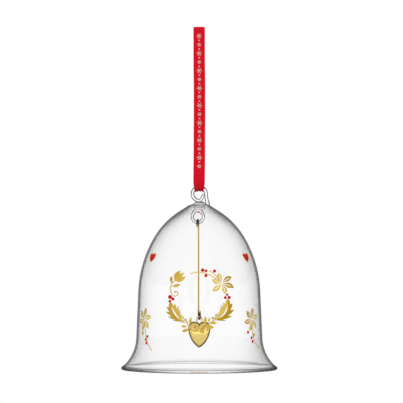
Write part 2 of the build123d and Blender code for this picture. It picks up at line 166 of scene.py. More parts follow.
class RibbonSettings(bpy.types.PropertyGroup):
    """Sizes and colours of the ribbon, its foil and its thread."""

    width: length("Width", "Flat width of the ribbon", 7.0)
    thickness: length("Thickness", "Thickness of the ribbon", 0.3)
    hook_radius: length("Hook radius", "Hook that fills the top fold", 1.5)
    lap_top: length("Lap top", "Outer end of the lap below the hook", 62)
    lap_length: length("Lap length", "How far the two ends lie over each other", 9)
    gather: length("Gather", "How much narrower the bottom fold is", 2.0)
    pleat: length("Pleat", "Depth of the pleats in the bottom fold", 0.5)
    foil_top: length("Foil top", "First star's middle below the top of the fold", 6.5)
    foil_run: length("Foil run", "From the first star's middle to the last mark's", 80)
    star: length("Star", "Reach of a large star's arm", 1.75)
    small_star: length("Small star", "Reach of a small star's arm", 1.3)
    dot: length("Dot", "Radius of the dot between two stars", 0.46)
    red: colour("Ribbon red", "Colour of the satin", 224, 0, 36)
    dark_red: colour("Dark red", "Colour of the satin's shaded threads", 150, 0, 16)
    foil: colour("Foil", "Colour of the pressed foil", 250, 214, 190)


class StageSettings(bpy.types.PropertyGroup):
    """Camera, floor and light."""

    distance: length("Distance", "Camera to the bell's axis", 1940)
    camera_height: length("Camera height", "Camera above the rim", 101.8)
    camera_side: length("Camera side", "Camera to the right of the axis", 1.35)
    lens: FloatProperty(name="Lens", description="Focal length in millimetres", default=282.0)
    floor_drop: length("Floor drop", "Floor below the rim", 300)
    floor_radius: length("Floor radius", "Radius of the round floor", 2300)
    ambient: FloatProperty(
        name="Ambient", description="Light from all round on matt surfaces", default=0.78
    )
    floor: colour("Floor", "Colour of the floor", 236, 236, 234)


# ---- Meshes ------------------------------------------------------------------------
def grid_faces(rows, columns, wrap_rows=False, wrap_columns=False):
    """Corner numbers of the quads of a grid, row by row, with either side joined up."""
    row = np.arange(rows if wrap_rows else rows - 1)[:, None]
    column = np.arange(columns if wrap_columns else columns - 1)[None, :]
    next_row, next_column = (row + 1) % rows, (column + 1) % columns
    corners = [
        row * columns + column,
        next_row * columns + column,
        next_row * columns + next_column,
        row * columns + next_column,
    ]
    return np.stack([c.ravel() for c in corners], 1)


class Patch:
    """A grid of points with its faces, and numbers per point for the material."""

    def __init__(self, points, wrap_rows=False, wrap_columns=False, uv=None, tone=0.0):
        rows, columns = points.shape[:2]
        self.points = points.reshape(-1, 3)
        self.faces = grid_faces(rows, columns, wrap_rows, wrap_columns)
        self.uv = np.zeros((rows * columns, 2)) if uv is None else uv.reshape(-1, 2)
        self.tone = np.broadcast_to(tone, (rows, columns)).ravel()


def build(name, patches, material, weld=1e-7, closed=True):
    """One mesh object at the origin from patches, its seams and poles welded.

    The faces of a closed piece are turned outwards; the patches of a thin layer keep
    the way they are wound.
    """
    counts = np.cumsum([0] + [len(p.points) for p in patches])
    points = np.concatenate([p.points for p in patches])
    faces = np.concatenate([p.faces + start for p, start in zip(patches, counts)])
    mesh = bpy.data.meshes.new(name)
    mesh.vertices.add(len(points))
    mesh.vertices.foreach_set("co", points.astype(np.float32).ravel())
    mesh.loops.add(faces.size)
    mesh.loops.foreach_set("vertex_index", faces.astype(np.int32).ravel())
    mesh.polygons.add(len(faces))
    mesh.polygons.foreach_set("loop_start", np.arange(0, faces.size, 4, dtype=np.int32))
    mesh.polygons.foreach_set("use_smooth", np.ones(len(faces), bool))
    mesh.update(calc_edges=True)
    uv = np.concatenate([p.uv for p in patches])[faces.ravel()]
    mesh.uv_layers.new(name="UVMap").data.foreach_set("uv", uv.astype(np.float32).ravel())
    tone = mesh.attributes.new("tone", "FLOAT", "POINT")
    tone.data.foreach_set("value", np.concatenate([p.tone for p in patches]).astype(np.float32))
    form = bmesh.new()
    form.from_mesh(mesh)
    bmesh.ops.remove_doubles(form, verts=form.verts, dist=weld)
    bmesh.ops.dissolve_degenerate(form, edges=form.edges, dist=weld)
    if closed:
        bmesh.ops.recalc_face_normals(form, faces=form.faces)
    form.to_mesh(mesh)
    form.free()
    mesh.materials.append(material)
    piece = bpy.data.objects.new(name, mesh)
    bpy.context.scene.collection.objects.link(piece)
    return piece


def arrive(piece, body, slot, *nodes):
    """Puts a finished piece on its body in place of CAD nodes."""
    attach(piece, body)
    if nodes:
        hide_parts(*nodes)
    return piece


def thicken(piece, thickness, offset):
    """Gives a thin layer its thickness."""
    film = piece.modifiers.new("film", "SOLIDIFY")
    film.thickness, film.offset = thickness, offset


def unit(vectors):
    """Vectors scaled to length 1."""
    return vectors / np.linalg.norm(vectors, axis=-1, keepdims=True)


def lathe(radii, heights, turns, wobble=None, tone=0.0):
    """A surface of revolution: the profile (radius, height) turned about Z.

    wobble gives the share by which a radius grows, per profile point and turn.
    """
    theta = np.linspace(0, TAU, turns, endpoint=False)[None, :]
    spread = radii[:, None] * np.ones_like(theta)
    if wobble is not None:
        spread = spread * (1 + wobble(radii[:, None], heights[:, None], theta))
    points = [spread * np.cos(theta), spread * np.sin(theta), heights[:, None] + 0 * theta]
    return Patch(np.stack(points, -1), wrap_columns=True, tone=np.reshape(tone, (-1, 1)))


def tube(path, radius, side, sides=20, closed=False):
    """A round rod along a path: circles at right angles to it.

    side is the direction that starts each circle. An open rod has rounded ends: it runs
    on by its radius in circles that shrink as the sine of a quarter turn.
    """
    path, radius = np.asarray(path, float), np.broadcast_to(radius, len(path)).astype(float)
    if closed:
        along = unit(np.roll(path, -1, 0) - np.roll(path, 1, 0))
    else:
        along = unit(np.gradient(path, axis=0))
        quarter = np.linspace(0, math.pi / 2, 7)[1:, None]
        first = path[0] - along[0] * radius[0] * np.sin(quarter)
        last = path[-1] + along[-1] * radius[-1] * np.sin(quarter)
        shrink = np.cos(quarter[:, 0])
        path = np.vstack([first[::-1], path, last])
        radius = np.concatenate([radius[0] * shrink[::-1], radius, radius[-1] * shrink])
        along = np.vstack([along[[0] * len(first)], along, along[[-1] * len(last)]])
    side = np.broadcast_to(np.asarray(side, float), path.shape)
    across = unit(side - along * (side * along).sum(1, keepdims=True))
    other = np.cross(along, across)
    phi = np.linspace(0, TAU, sides, endpoint=False)[None, :, None]
    points = path[:, None] + radius[:, None, None] * (
        np.cos(phi) * across[:, None] + np.sin(phi) * other[:, None]
    )
    reach = np.append(0, np.cumsum(np.linalg.norm(np.diff(path, axis=0), axis=1)))
    uv = np.stack(np.broadcast_arrays(reach[:, None], phi[..., 0] / TAU), -1)
    return Patch(points, wrap_rows=closed, wrap_columns=True, uv=uv)


def quadratic(start, pull, end, share):
    """The curve from start to end that a third point pulls: a quadratic in the share."""
    return (1 - share) ** 2 * start + 2 * share * (1 - share) * pull + share**2 * end


def upright(x, z, y=0.0):
    """Points of a path in the XZ plane, at y."""
    return np.stack(np.broadcast_arrays(x, y, z), 1)


# ---- Materials ---------------------------------------------------------------------
# clear glass and the painted shades drawn on it, as linear colours, and the spacing of the satin's
# threads
CLEAR = (1.0, 1.0, 1.0)
GLASS_PAINTED_GREY = (0.22, 0.23, 0.24)
ROD_PAINTED_GREY = (0.4, 0.41, 0.42)
ROD_SIDE_SHADE = (0.07, 0.072, 0.075)
CROWN_EDGE_SHADE = (0.004, 0.004, 0.004)
WARP, WEFT = 0.16 * MM, 0.28 * MM


class Wire:
    """One socket of a shader tree; sums written with it add the tree's Math nodes."""

    def __init__(self, recipe, socket):
        self.recipe, self.socket = recipe, socket

    def math(self, operation, *values):
        """A Math node on these numbers or sockets."""
        return self.recipe.node("ShaderNodeMath", {"operation": operation}, values)

    def __add__(self, other):
        return self.math("ADD", self, other)

    def __sub__(self, other):
        return self.math("SUBTRACT", self, other)

    def __rsub__(self, other):
        return self.math("SUBTRACT", other, self)

    def __mul__(self, other):
        return self.math("MULTIPLY", self, other)

    __radd__, __rmul__ = __add__, __mul__

    def wave(self):
        """The sine of this, moved to 0..1."""
        return self.math("SINE", self) * 0.5 + 0.5

    def between(self, low, high):
        """0 below low, 1 above high, eased between the two."""
        return self.recipe.node(
            "ShaderNodeMapRange",
            {"interpolation_type": "SMOOTHSTEP"},
            {"Value": self, "From Min": low, "From Max": high},
        )


class Recipe:
    """A material's or the world's shader tree."""

    def __init__(self, owner):
        owner.use_nodes = True
        self.owner, self.tree = owner, owner.node_tree
        self.tree.nodes.clear()

    def fill(self, socket, value):
        """Links a socket, or sets its constant."""
        if isinstance(value, Wire):
            self.tree.links.new(value.socket, socket)
        else:
            socket.default_value = value

    def node(self, kind, settings=None, values=None, out=0):
        """Adds a node: settings first, then the values or links of its sockets."""
        made = self.tree.nodes.new(kind)
        for name, setting in (settings or {}).items():
            setattr(made, name, setting)
        pairs = values.items() if isinstance(values, dict) else enumerate(values or ())
        for name, value in pairs:
            self.fill(made.inputs[name], value)
        return Wire(self, made.outputs[out] if made.outputs else None)

    def mix(self, share, first, second):
        """A colour between two colours."""
        made = self.tree.nodes.new("ShaderNodeMix")
        made.data_type = "RGBA"
        sockets = {socket.identifier: socket for socket in (*made.inputs, *made.outputs)}
        self.fill(sockets["Factor_Float"], share)
        for name, value in (("A_Color", first), ("B_Color", second)):
            self.fill(sockets[name], (*value, 1))
        return Wire(self, sockets["Result_Color"])

    def split(self, vector):
        """The three numbers of a vector."""
        made = self.node("ShaderNodeSeparateXYZ", None, {"Vector": vector})
        return [Wire(self, socket) for socket in made.socket.node.outputs]

    def place(self):
        """Object coordinates."""
        return self.node("ShaderNodeTexCoord", None, None, "Object")

    def along_ribbon(self):
        """The piece's UV map, which runs along and across it in metres."""
        return self.node("ShaderNodeUVMap", {"uv_map": "UVMap"})

    def tone(self):
        """The piece's own number per point, 0..1."""
        return self.node("ShaderNodeAttribute", {"attribute_name": "tone"}, None, "Fac")

    def facing(self):
        """0 where the surface is seen square on, 1 where it is seen edge on."""
        return self.node("ShaderNodeLayerWeight", None, {"Blend": 0.5}, "Facing")

    def noise(self, scale, detail=3.0, vector=None):
        """Cloudy noise over the object, 0..1."""
        values = {"Vector": vector or self.place(), "Scale": scale, "Detail": detail}
        return self.node("ShaderNodeTexNoise", None, values)

    def bump(self, height, strength, distance):
        """A bumped normal from a height."""
        values = {"Height": height, "Strength": strength, "Distance": distance}
        return self.node("ShaderNodeBump", None, values)

    def surface(self, **sockets):
        """A Principled shader; names are the sockets' with _ for a space."""
        values = {name.replace("_", " "): value for name, value in sockets.items()}
        return self.node("ShaderNodeBsdfPrincipled", None, values)

    def blend(self, share, first, second):
        """A shader between two shaders."""
        return self.node("ShaderNodeMixShader", None, (share, first, second))

    def finish(self, shader, kind="ShaderNodeOutputMaterial"):
        """Links the shader to the output and hands back the material or world."""
        self.node(kind, None, {"Surface": shader})
        return self.owner


def material(name):
    """A new material's recipe."""
    return Recipe(bpy.data.materials.new(name))


def tinted(tint, *shares):
    """A colour times one share, or times a share for each of its three parts."""
    return tuple(part * share for part, share in zip(tint, shares * (3 // len(shares))))


def glass_finish(recipe, share, body, ripple, edge):
    """Clear glass of a body colour that turns by a share to a matt edge colour, which is painted shade.
    """
    clear = recipe.surface(
        Base_Color=body, Roughness=0.0, IOR=1.4, Transmission_Weight=1.0, Normal=ripple
    )
    dark = recipe.surface(Base_Color=edge, Roughness=1.0, Specular_IOR_Level=0.0)
    return recipe.finish(recipe.blend(share, clear, dark))


def clear_glass(settings):
    """Blown glass painted grey towards its edges and painted dark where it is edge on: painted shade in
    place of the dark surroundings that real glass reflects there.

    The painted grey deepens towards the crown and is stronger to the right. tone is 1 on the
    surfaces that draw the full dark edge.
    """
    recipe = material("blown_glass")
    crown_z, lip_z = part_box("crown_plug")[1].z, rim_z(settings)
    x, _, z = recipe.split(recipe.place())
    towards_crown = z.between(crown_z - 21 * MM, crown_z - 6 * MM)
    crown = z.between(crown_z - 4.0 * MM, crown_z - 2.2 * MM)
    rim = 1 - z.between(lip_z + 0.2 * MM, lip_z + 1.4 * MM)
    facing, tone = recipe.facing(), recipe.tone()
    # painted shade: the grey is stronger towards the right side
    side = x.between(0.0, 47 * MM) * 0.22 + 0.25
    grey = facing.between(0.1, 1.0) * side + facing.between(0.38, 0.8) * towards_crown * 0.85
    body = recipe.mix(grey * (1 - crown * 0.6), CLEAR, GLASS_PAINTED_GREY)
    ripple = recipe.bump(recipe.noise(42.0, 2.0), 0.12, 0.6 * MM)
    # painted shade: the edge colour turns near black towards the crown
    edge = recipe.mix(towards_crown, settings.edge_shade, CROWN_EDGE_SHADE)
    # how strongly the painted dark edge shows: more towards the crown and at the rim, less on the crown's
    # top
    shade_weight = towards_crown * 0.35 + rim * 0.15 + 0.55 - crown * 0.75
    share = facing.between(0.82 - rim * 0.8, 0.94 - rim * 0.5) * (tone * 0.9 + 0.1) * shade_weight
    return glass_finish(recipe, share, body, ripple, edge)


def drawn_glass(settings):
    """Glass rod: clear along its middle, with painted grey and painted dark shade, patchy in places,
    along both sides.
    """
    recipe = material("drawn_glass")
    facing = recipe.facing()
    patchy = recipe.noise(330.0, 1.0).between(0.4, 0.62)
    # painted shade: grey towards the sides and a dark matt edge, patchy along the rod, in place of the
    # dark surroundings a real rod refracts
    body = recipe.mix(facing.between(0.0, 0.5) * 0.6, CLEAR, ROD_PAINTED_GREY)
    ripple = recipe.bump(recipe.noise(210.0, 2.0), 0.25, 0.6 * MM)
    edge = recipe.mix(patchy, ROD_SIDE_SHADE, tinted(settings.edge_shade, 0.3))
    share = facing.between(0.02, 0.28) * (patchy * 0.45 + 0.55)
    return glass_finish(recipe, share, body, ripple, edge)


def fired_gold(settings):
    """Fired gold: tone runs from pale to deep, with fine grain and a soft sheen."""
    recipe = material("print_gold")
    grain = recipe.noise(2600.0, 2.0)
    depth = recipe.tone() + 0.12 + (recipe.noise(420.0, 2.0) - 0.5) * 0.35
    return recipe.finish(
        recipe.surface(
            Base_Color=recipe.mix(depth, settings.pale_gold, settings.deep_gold),
            Metallic=0.1,
            Specular_IOR_Level=0.2,
            Roughness=grain * 0.2 + 0.36,
            Normal=recipe.bump(grain, 0.25, 0.02 * MM),
        )
    )


def red_enamel(settings):
    """Gloss enamel, a little darker towards the rims of its domes, with orange-peel bump."""
    recipe = material("print_enamel")
    peel = recipe.noise(1500.0, 1.0)
    red = settings.enamel
    return recipe.finish(
        recipe.surface(
            Base_Color=recipe.mix(recipe.tone() * 0.8 + peel * 0.2, tinted(red, 0.72), red),
            Roughness=peel * 0.12 + 0.2,
            Specular_IOR_Level=0.2,
            Coat_Weight=0.1,
            Coat_Roughness=0.08,
            Normal=recipe.bump(peel, 0.2, 0.02 * MM),
        )
    )


def gold_plate(settings, name, plate, grain_scale, shine, band):
    """Polished plate with fine hazing and slight waves, drawn as a dark brown matt surface on its steep
    sides as painted shade.

    tone is 1 where the metal is drawn in that dark colour all over, as at the wire's hooks.
    """
    recipe = material(name)
    haze = recipe.noise(grain_scale, 3.0)
    metal = recipe.surface(
        Base_Color=recipe.mix(haze * 0.4, plate, tinted(plate, 0.88, 0.8, 0.66)),
        Metallic=1.0,
        Roughness=haze * 0.08 + shine,
        Normal=recipe.bump(recipe.noise(160.0, 1.0), 0.08, 0.2 * MM),
    )
    metal_shade = recipe.surface(
        Base_Color=recipe.mix(haze, settings.metal_shade, tinted(settings.metal_shade, 0.5)),
        Roughness=haze * 0.2 + 0.4,
        Specular_IOR_Level=0.0,
    )
    # painted shade on the steep sides, plus the tone's dark parts, all drawn in the dark matt colour
    share = recipe.facing().between(*band) * 0.88 + recipe.tone() * (haze * 0.2 + 0.8)
    return recipe.finish(recipe.blend(share, metal, metal_shade))


def satin(settings):
    """Satin: long shining warp threads, fine weft lines and a thicker selvedge, with painted shade in the
    hollows of its pleats.
    """
    recipe = material("satin_ribbon")
    place = recipe.along_ribbon()
    along, across, _ = recipe.split(place)
    threads = (across * (TAU / WARP)).wave()
    weft = (along * (TAU / WEFT)).wave()
    stretched = recipe.node("ShaderNodeMapping", None, {"Vector": place, "Scale": (90, 3600, 1)})
    grain = recipe.noise(1.0, 2.0, stretched)
    edge = across.math("ABSOLUTE", across).between(settings.width * 0.44, settings.width * 0.475)
    # tone darkens the pleats' hollows as painted shade; grain, threads and selvedge vary the satin's own
    # colour
    dark = grain * 0.5 + threads * 0.1 + edge * 0.2 + recipe.tone() * 0.6
    height = threads * 0.5 + weft * 0.25 + grain * 0.6 + edge * 1.2
    return recipe.finish(
        recipe.surface(
            Base_Color=recipe.mix(dark, settings.red, settings.dark_red),
            Roughness=grain * 0.2 + 0.4,
            Sheen_Weight=0.03,
            Sheen_Roughness=0.4,
            Anisotropic=0.45,
            Specular_IOR_Level=0.12,
            Normal=recipe.bump(height, 0.3, 0.03 * MM),
        )
    )


def thread(settings):
    """Sewing thread: two plies that wind along it, with painted shade in the grooves between them."""
    recipe = material("sewing_thread")
    along, around, _ = recipe.split(recipe.along_ribbon())
    plies = (along * (TAU / (0.5 * MM)) + around * TAU * 2).wave()
    red = settings.dark_red
    return recipe.finish(
        recipe.surface(
            Base_Color=recipe.mix(plies, tinted(red, 0.5), red),
            Roughness=plies * 0.1 + 0.6,
            Normal=recipe.bump(plies, 0.6, 0.04 * MM),
        )
    )


def pressed_foil(settings):
    """Foil pressed into satin: the ribbon's threads show through as fine breaks."""
    recipe = material("pressed_foil")
    broken = recipe.noise(3800.0, 2.0)
    foil = settings.foil
    shade = recipe.mix(broken.between(0.45, 0.75) * 0.5, foil, tinted(foil, 1.0, 0.62, 0.55))
    return recipe.finish(
        recipe.surface(
            Base_Color=shade,
            Metallic=0.5,
            Roughness=broken * 0.3 + 0.25,
            Normal=recipe.bump(broken, 0.3, 0.02 * MM),
        )
    )


def floor_paint(settings):
    """Pale matt floor with faint cloudiness."""
    recipe = material("studio_floor")
    tint = settings.floor
    return recipe.finish(
        recipe.surface(
            Base_Color=recipe.mix(recipe.noise(1.6, 4.0), tint, tinted(tint, 0.965)),
            Roughness=0.9,
            Normal=recipe.bump(recipe.noise(60.0), 0.05, 1.0 * MM),
        )
    )


# ---- Glass shapes ------------------------------------------------------------------
def rim_z(glass):
    """Height of the rim plane: the bead's lowest point with the bead's rise added."""
    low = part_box("bell_shell")[0].z
    return low + glass.bead_radius + glass.wall / 2 * math.sin(glass.lip_angle)


def bell_line(glass, count=200):
    """The outside's line from rim to neck as radius, height and lean.

    Three arcs and two straight runs. Along an arc of radius R the lean changes evenly
    from a to b while the radius falls by R(cos a - cos b) and the height rises by
    R(sin b - sin a). The lip's R is negative. The waist's length takes up what is left.
    """
    lip, waist, breast, shoulder = (
        glass.lip_angle, glass.waist_angle, glass.breast_angle, glass.shoulder_angle
    )
    neck_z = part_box("crown_plug")[1].z - glass.crown_rise
    base = rim_z(glass)

    def arc(point, radius, start, end):
        """Radius, height and lean along an arc that starts at a point."""
        lean = np.linspace(start, end, count // 4)
        return (
            point[0] - radius * (np.cos(start) - np.cos(lean)),
            point[1] + radius * (np.sin(lean) - np.sin(start)),
            lean,
        )

    runs = [arc((glass.rim_radius, base), -glass.lip_arc, lip, waist)]
    low = runs[0][0][-1], runs[0][1][-1]
    rest = [arc(low, glass.breast_arc, waist, breast)]
    rest.append(arc((rest[0][0][-1], rest[0][1][-1]), glass.dome_arc, breast, shoulder))
    across = rest[1][0][-1] - glass.neck_radius
    rise = neck_z - rest[1][1][-1]
    straight = (rise * math.sin(shoulder) - across * math.cos(shoulder)) / math.sin(shoulder - waist)
    step = (-straight * math.sin(waist), straight * math.cos(waist))
    share = np.linspace(0, 1, count // 4)[1:-1]
    runs.append((low[0] + step[0] * share, low[1] + step[1] * share, 0 * share + waist))
    runs += [(r + step[0], z + step[1], lean) for r, z, lean in rest]
    end = runs[-1][0][-1], runs[-1][1][-1]
    share = np.linspace(0, 1, count // 8)[1:]
    runs.append(
        (
            end[0] + (glass.neck_radius - end[0]) * share,
            end[1] + (neck_z - end[1]) * share,
            0 * share + shoulder,
        )
    )
    radius, height, lean = (np.concatenate(part) for part in zip(*runs))
    keep = np.append(True, np.hypot(np.diff(radius), np.diff(height)) > 1e-9)
    return radius[keep], height[keep], lean[keep]


def bell_section(glass):
    """The glass bell's closed half section and its tones, from crown's middle to plug's.

    The wall lies half its thickness each side of a middle line. Near the rim the half
    thickness swells to the bead's radius as exp(-(distance / 1.6 mm)^2), and a half
    circle closes it. The crown is a domed cap with a hollow side, the plug a rounded stub
    with two ridges, the squared sine of one whole turn down its side.
    """
    radius, height, lean = bell_line(glass)
    reach = np.append(0, np.cumsum(np.hypot(np.diff(radius), np.diff(height))))
    swell = np.exp(-((reach / (1.6 * MM)) ** 2))
    half = glass.wall / 2 + (glass.bead_radius - glass.wall / 2) * swell
    out = np.stack([np.cos(lean), np.sin(lean)], 1)
    middle = np.stack([radius, height], 1) - out * glass.wall / 2
    outer, inner = middle + out * half[:, None], middle - out * half[:, None]
    up = np.array([-math.sin(lean[0]), math.cos(lean[0])])
    turn = np.linspace(0, -math.pi, 26)[1:-1, None]
    bead = middle[0] + glass.bead_radius * (np.cos(turn) * out[0] + np.sin(turn) * up)
    crown_z, plug_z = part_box("crown_plug")[1].z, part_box("crown_plug")[0].z
    outer = outer[outer[:, 0] > glass.crown_radius]
    edge = np.array([glass.crown_radius, np.interp(glass.crown_radius, radius[::-1], height[::-1])])
    share = np.linspace(0, 1, 16)[:, None]
    top = np.array([glass.crown_top_radius, crown_z - glass.crown_dome])
    hollow = (top + edge) / 2 - np.array([0.35, 0.25]) * (edge - top) * (1, -0.2)
    side = quadratic(top, hollow, edge, share)
    cap = np.hstack([share * top[0], crown_z - glass.crown_dome * share**2])[:-1]
    corner = glass.neck_radius * 0.35
    inner = inner[inner[:, 0] > glass.neck_radius + 0.9 * MM]
    curve = np.linspace(0, math.pi / 2, 10)[:, None]
    top_side = np.array([glass.neck_radius, inner[-1, 1] - 0.5 * MM])
    fillet = quadratic(inner[-1], top_side + np.array([0, 0.8 * MM]), top_side, share)
    bend = np.array([glass.neck_radius - corner, plug_z + corner]) + corner * np.hstack(
        [np.cos(curve), -np.sin(curve)]
    )
    bottom = np.stack([np.linspace(glass.neck_radius - corner, 0, 8)[1:], np.full(7, plug_z)], 1)
    down = np.linspace(0, 1, 36)[1:-1]
    ridge_z = top_side[1] + (plug_z + corner - top_side[1]) * down
    ridge = glass.plug_ridge * np.sin(down * TAU) ** 2
    ridges = np.stack([glass.neck_radius + ridge, ridge_z], 1)
    runs = [cap, side, outer[::-1], bead, inner, fillet[1:], ridges, bend, bottom]
    # how much of the painted dark edge each run of the section draws
    tones = [1, 1, 1, 1, 0, 0.6, 1, 1, 1]
    section = np.vstack(runs)
    tone = np.concatenate([np.full(len(run), share) for run, share in zip(runs, tones)])
    keep = np.append(True, np.hypot(*np.diff(section, axis=0).T) > 1e-7)
    return section[keep], tone[keep]


def make_bell(glass):
    """The bell, its crown and its plug as one piece of glass.

    Within 9 mm of the crown's top the radius waves by a few hundredths round the axis,
    in three and five lobes, as glass shaped by hand does.
    """
    section, tone = bell_section(glass)
    crown_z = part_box("crown_plug")[1].z

    def wobble(radius, height, theta):
        """The share by which the crown's radius grows."""
        near = np.exp(-(((crown_z - height) / (4.5 * MM)) ** 2) - (radius / (9 * MM)) ** 4)
        return near * (0.06 * np.sin(3 * theta + 0.7) + 0.035 * np.sin(5 * theta + 2.1 + height * 900))

    patch = lathe(section[:, 0], section[:, 1], 176, wobble, tone)
    return build("glass_bell", [patch], clear_glass(glass), weld=0.002 * MM)


def make_hanging_loop(glass):
    """The glass rod that rises from the crown, turns over and ends inside itself.

    The turn is a helix about an axis along Y: x and z go round a circle while y falls
    by the pitch each turn. Its end leaves the circle at the bottom and rises inside it
    along a quadratic curve. The foot leans out as s^2 and thickens as 1 + 0.35 s^3, with
    s from 0 at the turn to 1 at the crown.
    """
    r = glass.loop_radius
    centre_z = JOINTS["bell_swing"][2] - r
    theta = np.linspace(0, glass.loop_turn, 110)
    turn = upright(
        r * np.cos(theta), centre_z + r * np.sin(theta), glass.loop_pitch * (0.25 - theta / TAU)
    )
    foot_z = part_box("hanging_loop")[0].z + glass.loop_rod * 0.4
    s = np.linspace(1, 0, 24)[:-1]
    drop = upright(
        turn[0, 0] + glass.foot_lean * s**2, centre_z + (foot_z - centre_z) * s, turn[0, 1]
    )
    bend = np.array([r * 0.3, turn[-1, 1], centre_z - r * 1.12])
    tip = np.array([r * 0.56, turn[-1, 1] - 0.15 * MM, centre_z - r * 0.22])
    u = np.linspace(0, 1, 40)[1:, None]
    path = np.vstack([drop, turn, quadratic(turn[-1], bend, tip, u)])
    rod = np.concatenate([1 + 0.35 * s**3, 1 + 0.05 * np.sin(theta * 2.3), 1 - 0.14 * u[:, 0]])
    return tube(path, rod * glass.loop_rod, (0, 1, 0), 28)


def make_clapper_ring(glass):
    """The glass ring under the plug: a torus about an axis along Y."""
    x, _, z = JOINTS["clapper_swing"]
    phi = np.linspace(0, TAU, 96, endpoint=False)
    r = glass.ring_radius
    path = upright(x + r * np.sin(phi), z + r + r * np.cos(phi))
    radius = glass.ring_rod * (1 + 0.025 * np.cos(2 * phi + 0.6))
    return tube(path, radius, (0, 1, 0), 28, closed=True)


# ---- Print drawing -----------------------------------------------------------------
# width of a fine drawn line, in drawing units
STROKE = 0.58


def drawn(points, tone, rise=0.0):
    """A drawn patch: complex points, tone 0..1 and height above the glass, in mm."""
    return points, np.broadcast_to(tone, points.shape), np.broadcast_to(rise, points.shape)


def blade(start, end, width, bend=0.0, tones=0.4, fat=1.0, slit=0.0, teeth=0, lean=0.0):
    """A leaf or petal of two halves from start to end.

    The middle line is the straight line moved sideways by bend * 4u(1 - u). The half
    width is width / 2 * sin(pi u^fat). A slit of its own half width opens from
    u = 0.1 to 0.8. Teeth are a saw wave that also pushes the edge forward by lean.
    """
    steps = 10 * teeth + 1 if teeth else 26
    u = np.linspace(0, 1, steps)[:, None]
    v = np.linspace(0, 1, 5)[None, :]
    way = (end - start) / abs(end - start)
    middle = start + (end - start) * u + 1j * way * bend * 4 * u * (1 - u)
    tangent = (end - start) + 1j * way * bend * 4 * (1 - 2 * u)
    normal = 1j * tangent / abs(tangent)
    half = width / 2 * np.sin(math.pi * u**fat) ** (0.85 if teeth else 1.0)
    saw = (u * teeth) % 1.0 if teeth else 0 * u
    saw = np.where(u > 0.98, 0, saw)
    edge = half * (1 - (0.42 - 0.62 * saw) * bool(teeth))
    open_share = np.clip((u - 0.1) / 0.7, 0, 1)
    inner = slit / 2 * np.sin(math.pi * open_share) ** 0.7
    patches = []
    for side, tone in zip((1, -1), np.broadcast_to(tones, 2)):
        span = inner + np.maximum(edge - inner, 0) * v
        points = middle + side * normal * span + tangent / abs(tangent) * lean * saw * half * v**2
        patches.append(drawn(points, tone + 0.25 * (v - 0.5) * u))
    return patches


def smooth(points, count):
    """A smooth curve through points: each span is a cubic with the neighbours' slopes."""
    points = np.asarray(points, complex)
    slopes = np.gradient(points)
    where = np.linspace(0, len(points) - 1, count)
    span = np.minimum(where.astype(int), len(points) - 2)
    s = where - span
    a, b, m, n = points[span], points[span + 1], slopes[span], slopes[span + 1]
    return (
        (2 * s**3 - 3 * s**2 + 1) * a
        + (s**3 - 2 * s**2 + s) * m
        + (3 * s**2 - 2 * s**3) * b
        + (s**3 - s**2) * n
    )


def line(points, width, tips=(0.5, 0.5), tone=0.4, count=30):
    """A drawn line along a smooth curve, its half width eased to the tips' shares."""
    path = smooth(points, count)
    u = np.linspace(0, 1, count)
    share = np.minimum(1, tips[0] + (1 - tips[0]) * np.minimum(1, u * 5))
    share = np.minimum(share, tips[1] + (1 - tips[1]) * np.minimum(1, (1 - u) * 5))
    tangent = np.gradient(path)
    normal = 1j * tangent / abs(tangent)
    v = np.linspace(-1, 1, 4)[None, :]
    return [drawn(path[:, None] + (normal * width / 2 * share)[:, None] * v, tone)]


def disc(centre, radius, tone=0.4, dome=0.0):
    """A round spot: a square grid (a, b) pressed to a disc, as a sqrt(1 - b^2 / 2)."""
    a, b = np.meshgrid(np.linspace(-1, 1, 9), np.linspace(-1, 1, 9), indexing="ij")
    spot = a * np.sqrt(1 - b**2 / 2) + 1j * b * np.sqrt(1 - a**2 / 2)
    swell = 1 - abs(spot) ** 2
    # a domed spot's tone rises towards its middle, so its rim is drawn darker
    return [drawn(centre + radius * spot, tone + 0.5 * swell * bool(dome), dome * swell)]


def ring(centre, radius):
    """An open berry: a flat ring."""
    around = np.exp(1j * np.linspace(0, TAU, 29))[:, None]
    return [drawn(centre + around * (radius - STROKE * np.linspace(1, 0, 3)[None, :]), 0.6)]


def curl(start, centre, turns, width, tone):
    """A tendril that winds in from start round a centre to a round end.

    The angle runs evenly through the turns and the distance shrinks to a fifth.
    """
    u = np.linspace(0, 1, 12)
    points = centre + (start - centre) * np.exp(1j * TAU * turns * u) * (1 - 0.8 * u**0.9)
    return line(points, width, (0.7, 1.0), tone, 40) + disc(points[-1], width * 0.95, tone)


def blossom(centre, petals, width):
    """Petals round a centre, each with an open slit and a pointed tip.

    A petal is its direction in degrees, its length and its tone.
    """
    drawing = []
    for degrees, reach, tone in petals:
        way = np.exp(1j * math.radians(degrees))
        tones = (tone, max(0.0, tone - 0.2))
        drawing += blade(centre + way * 0.4, centre + way * reach, width, 0.4, tones, 1.25, 0.5)
    return drawing


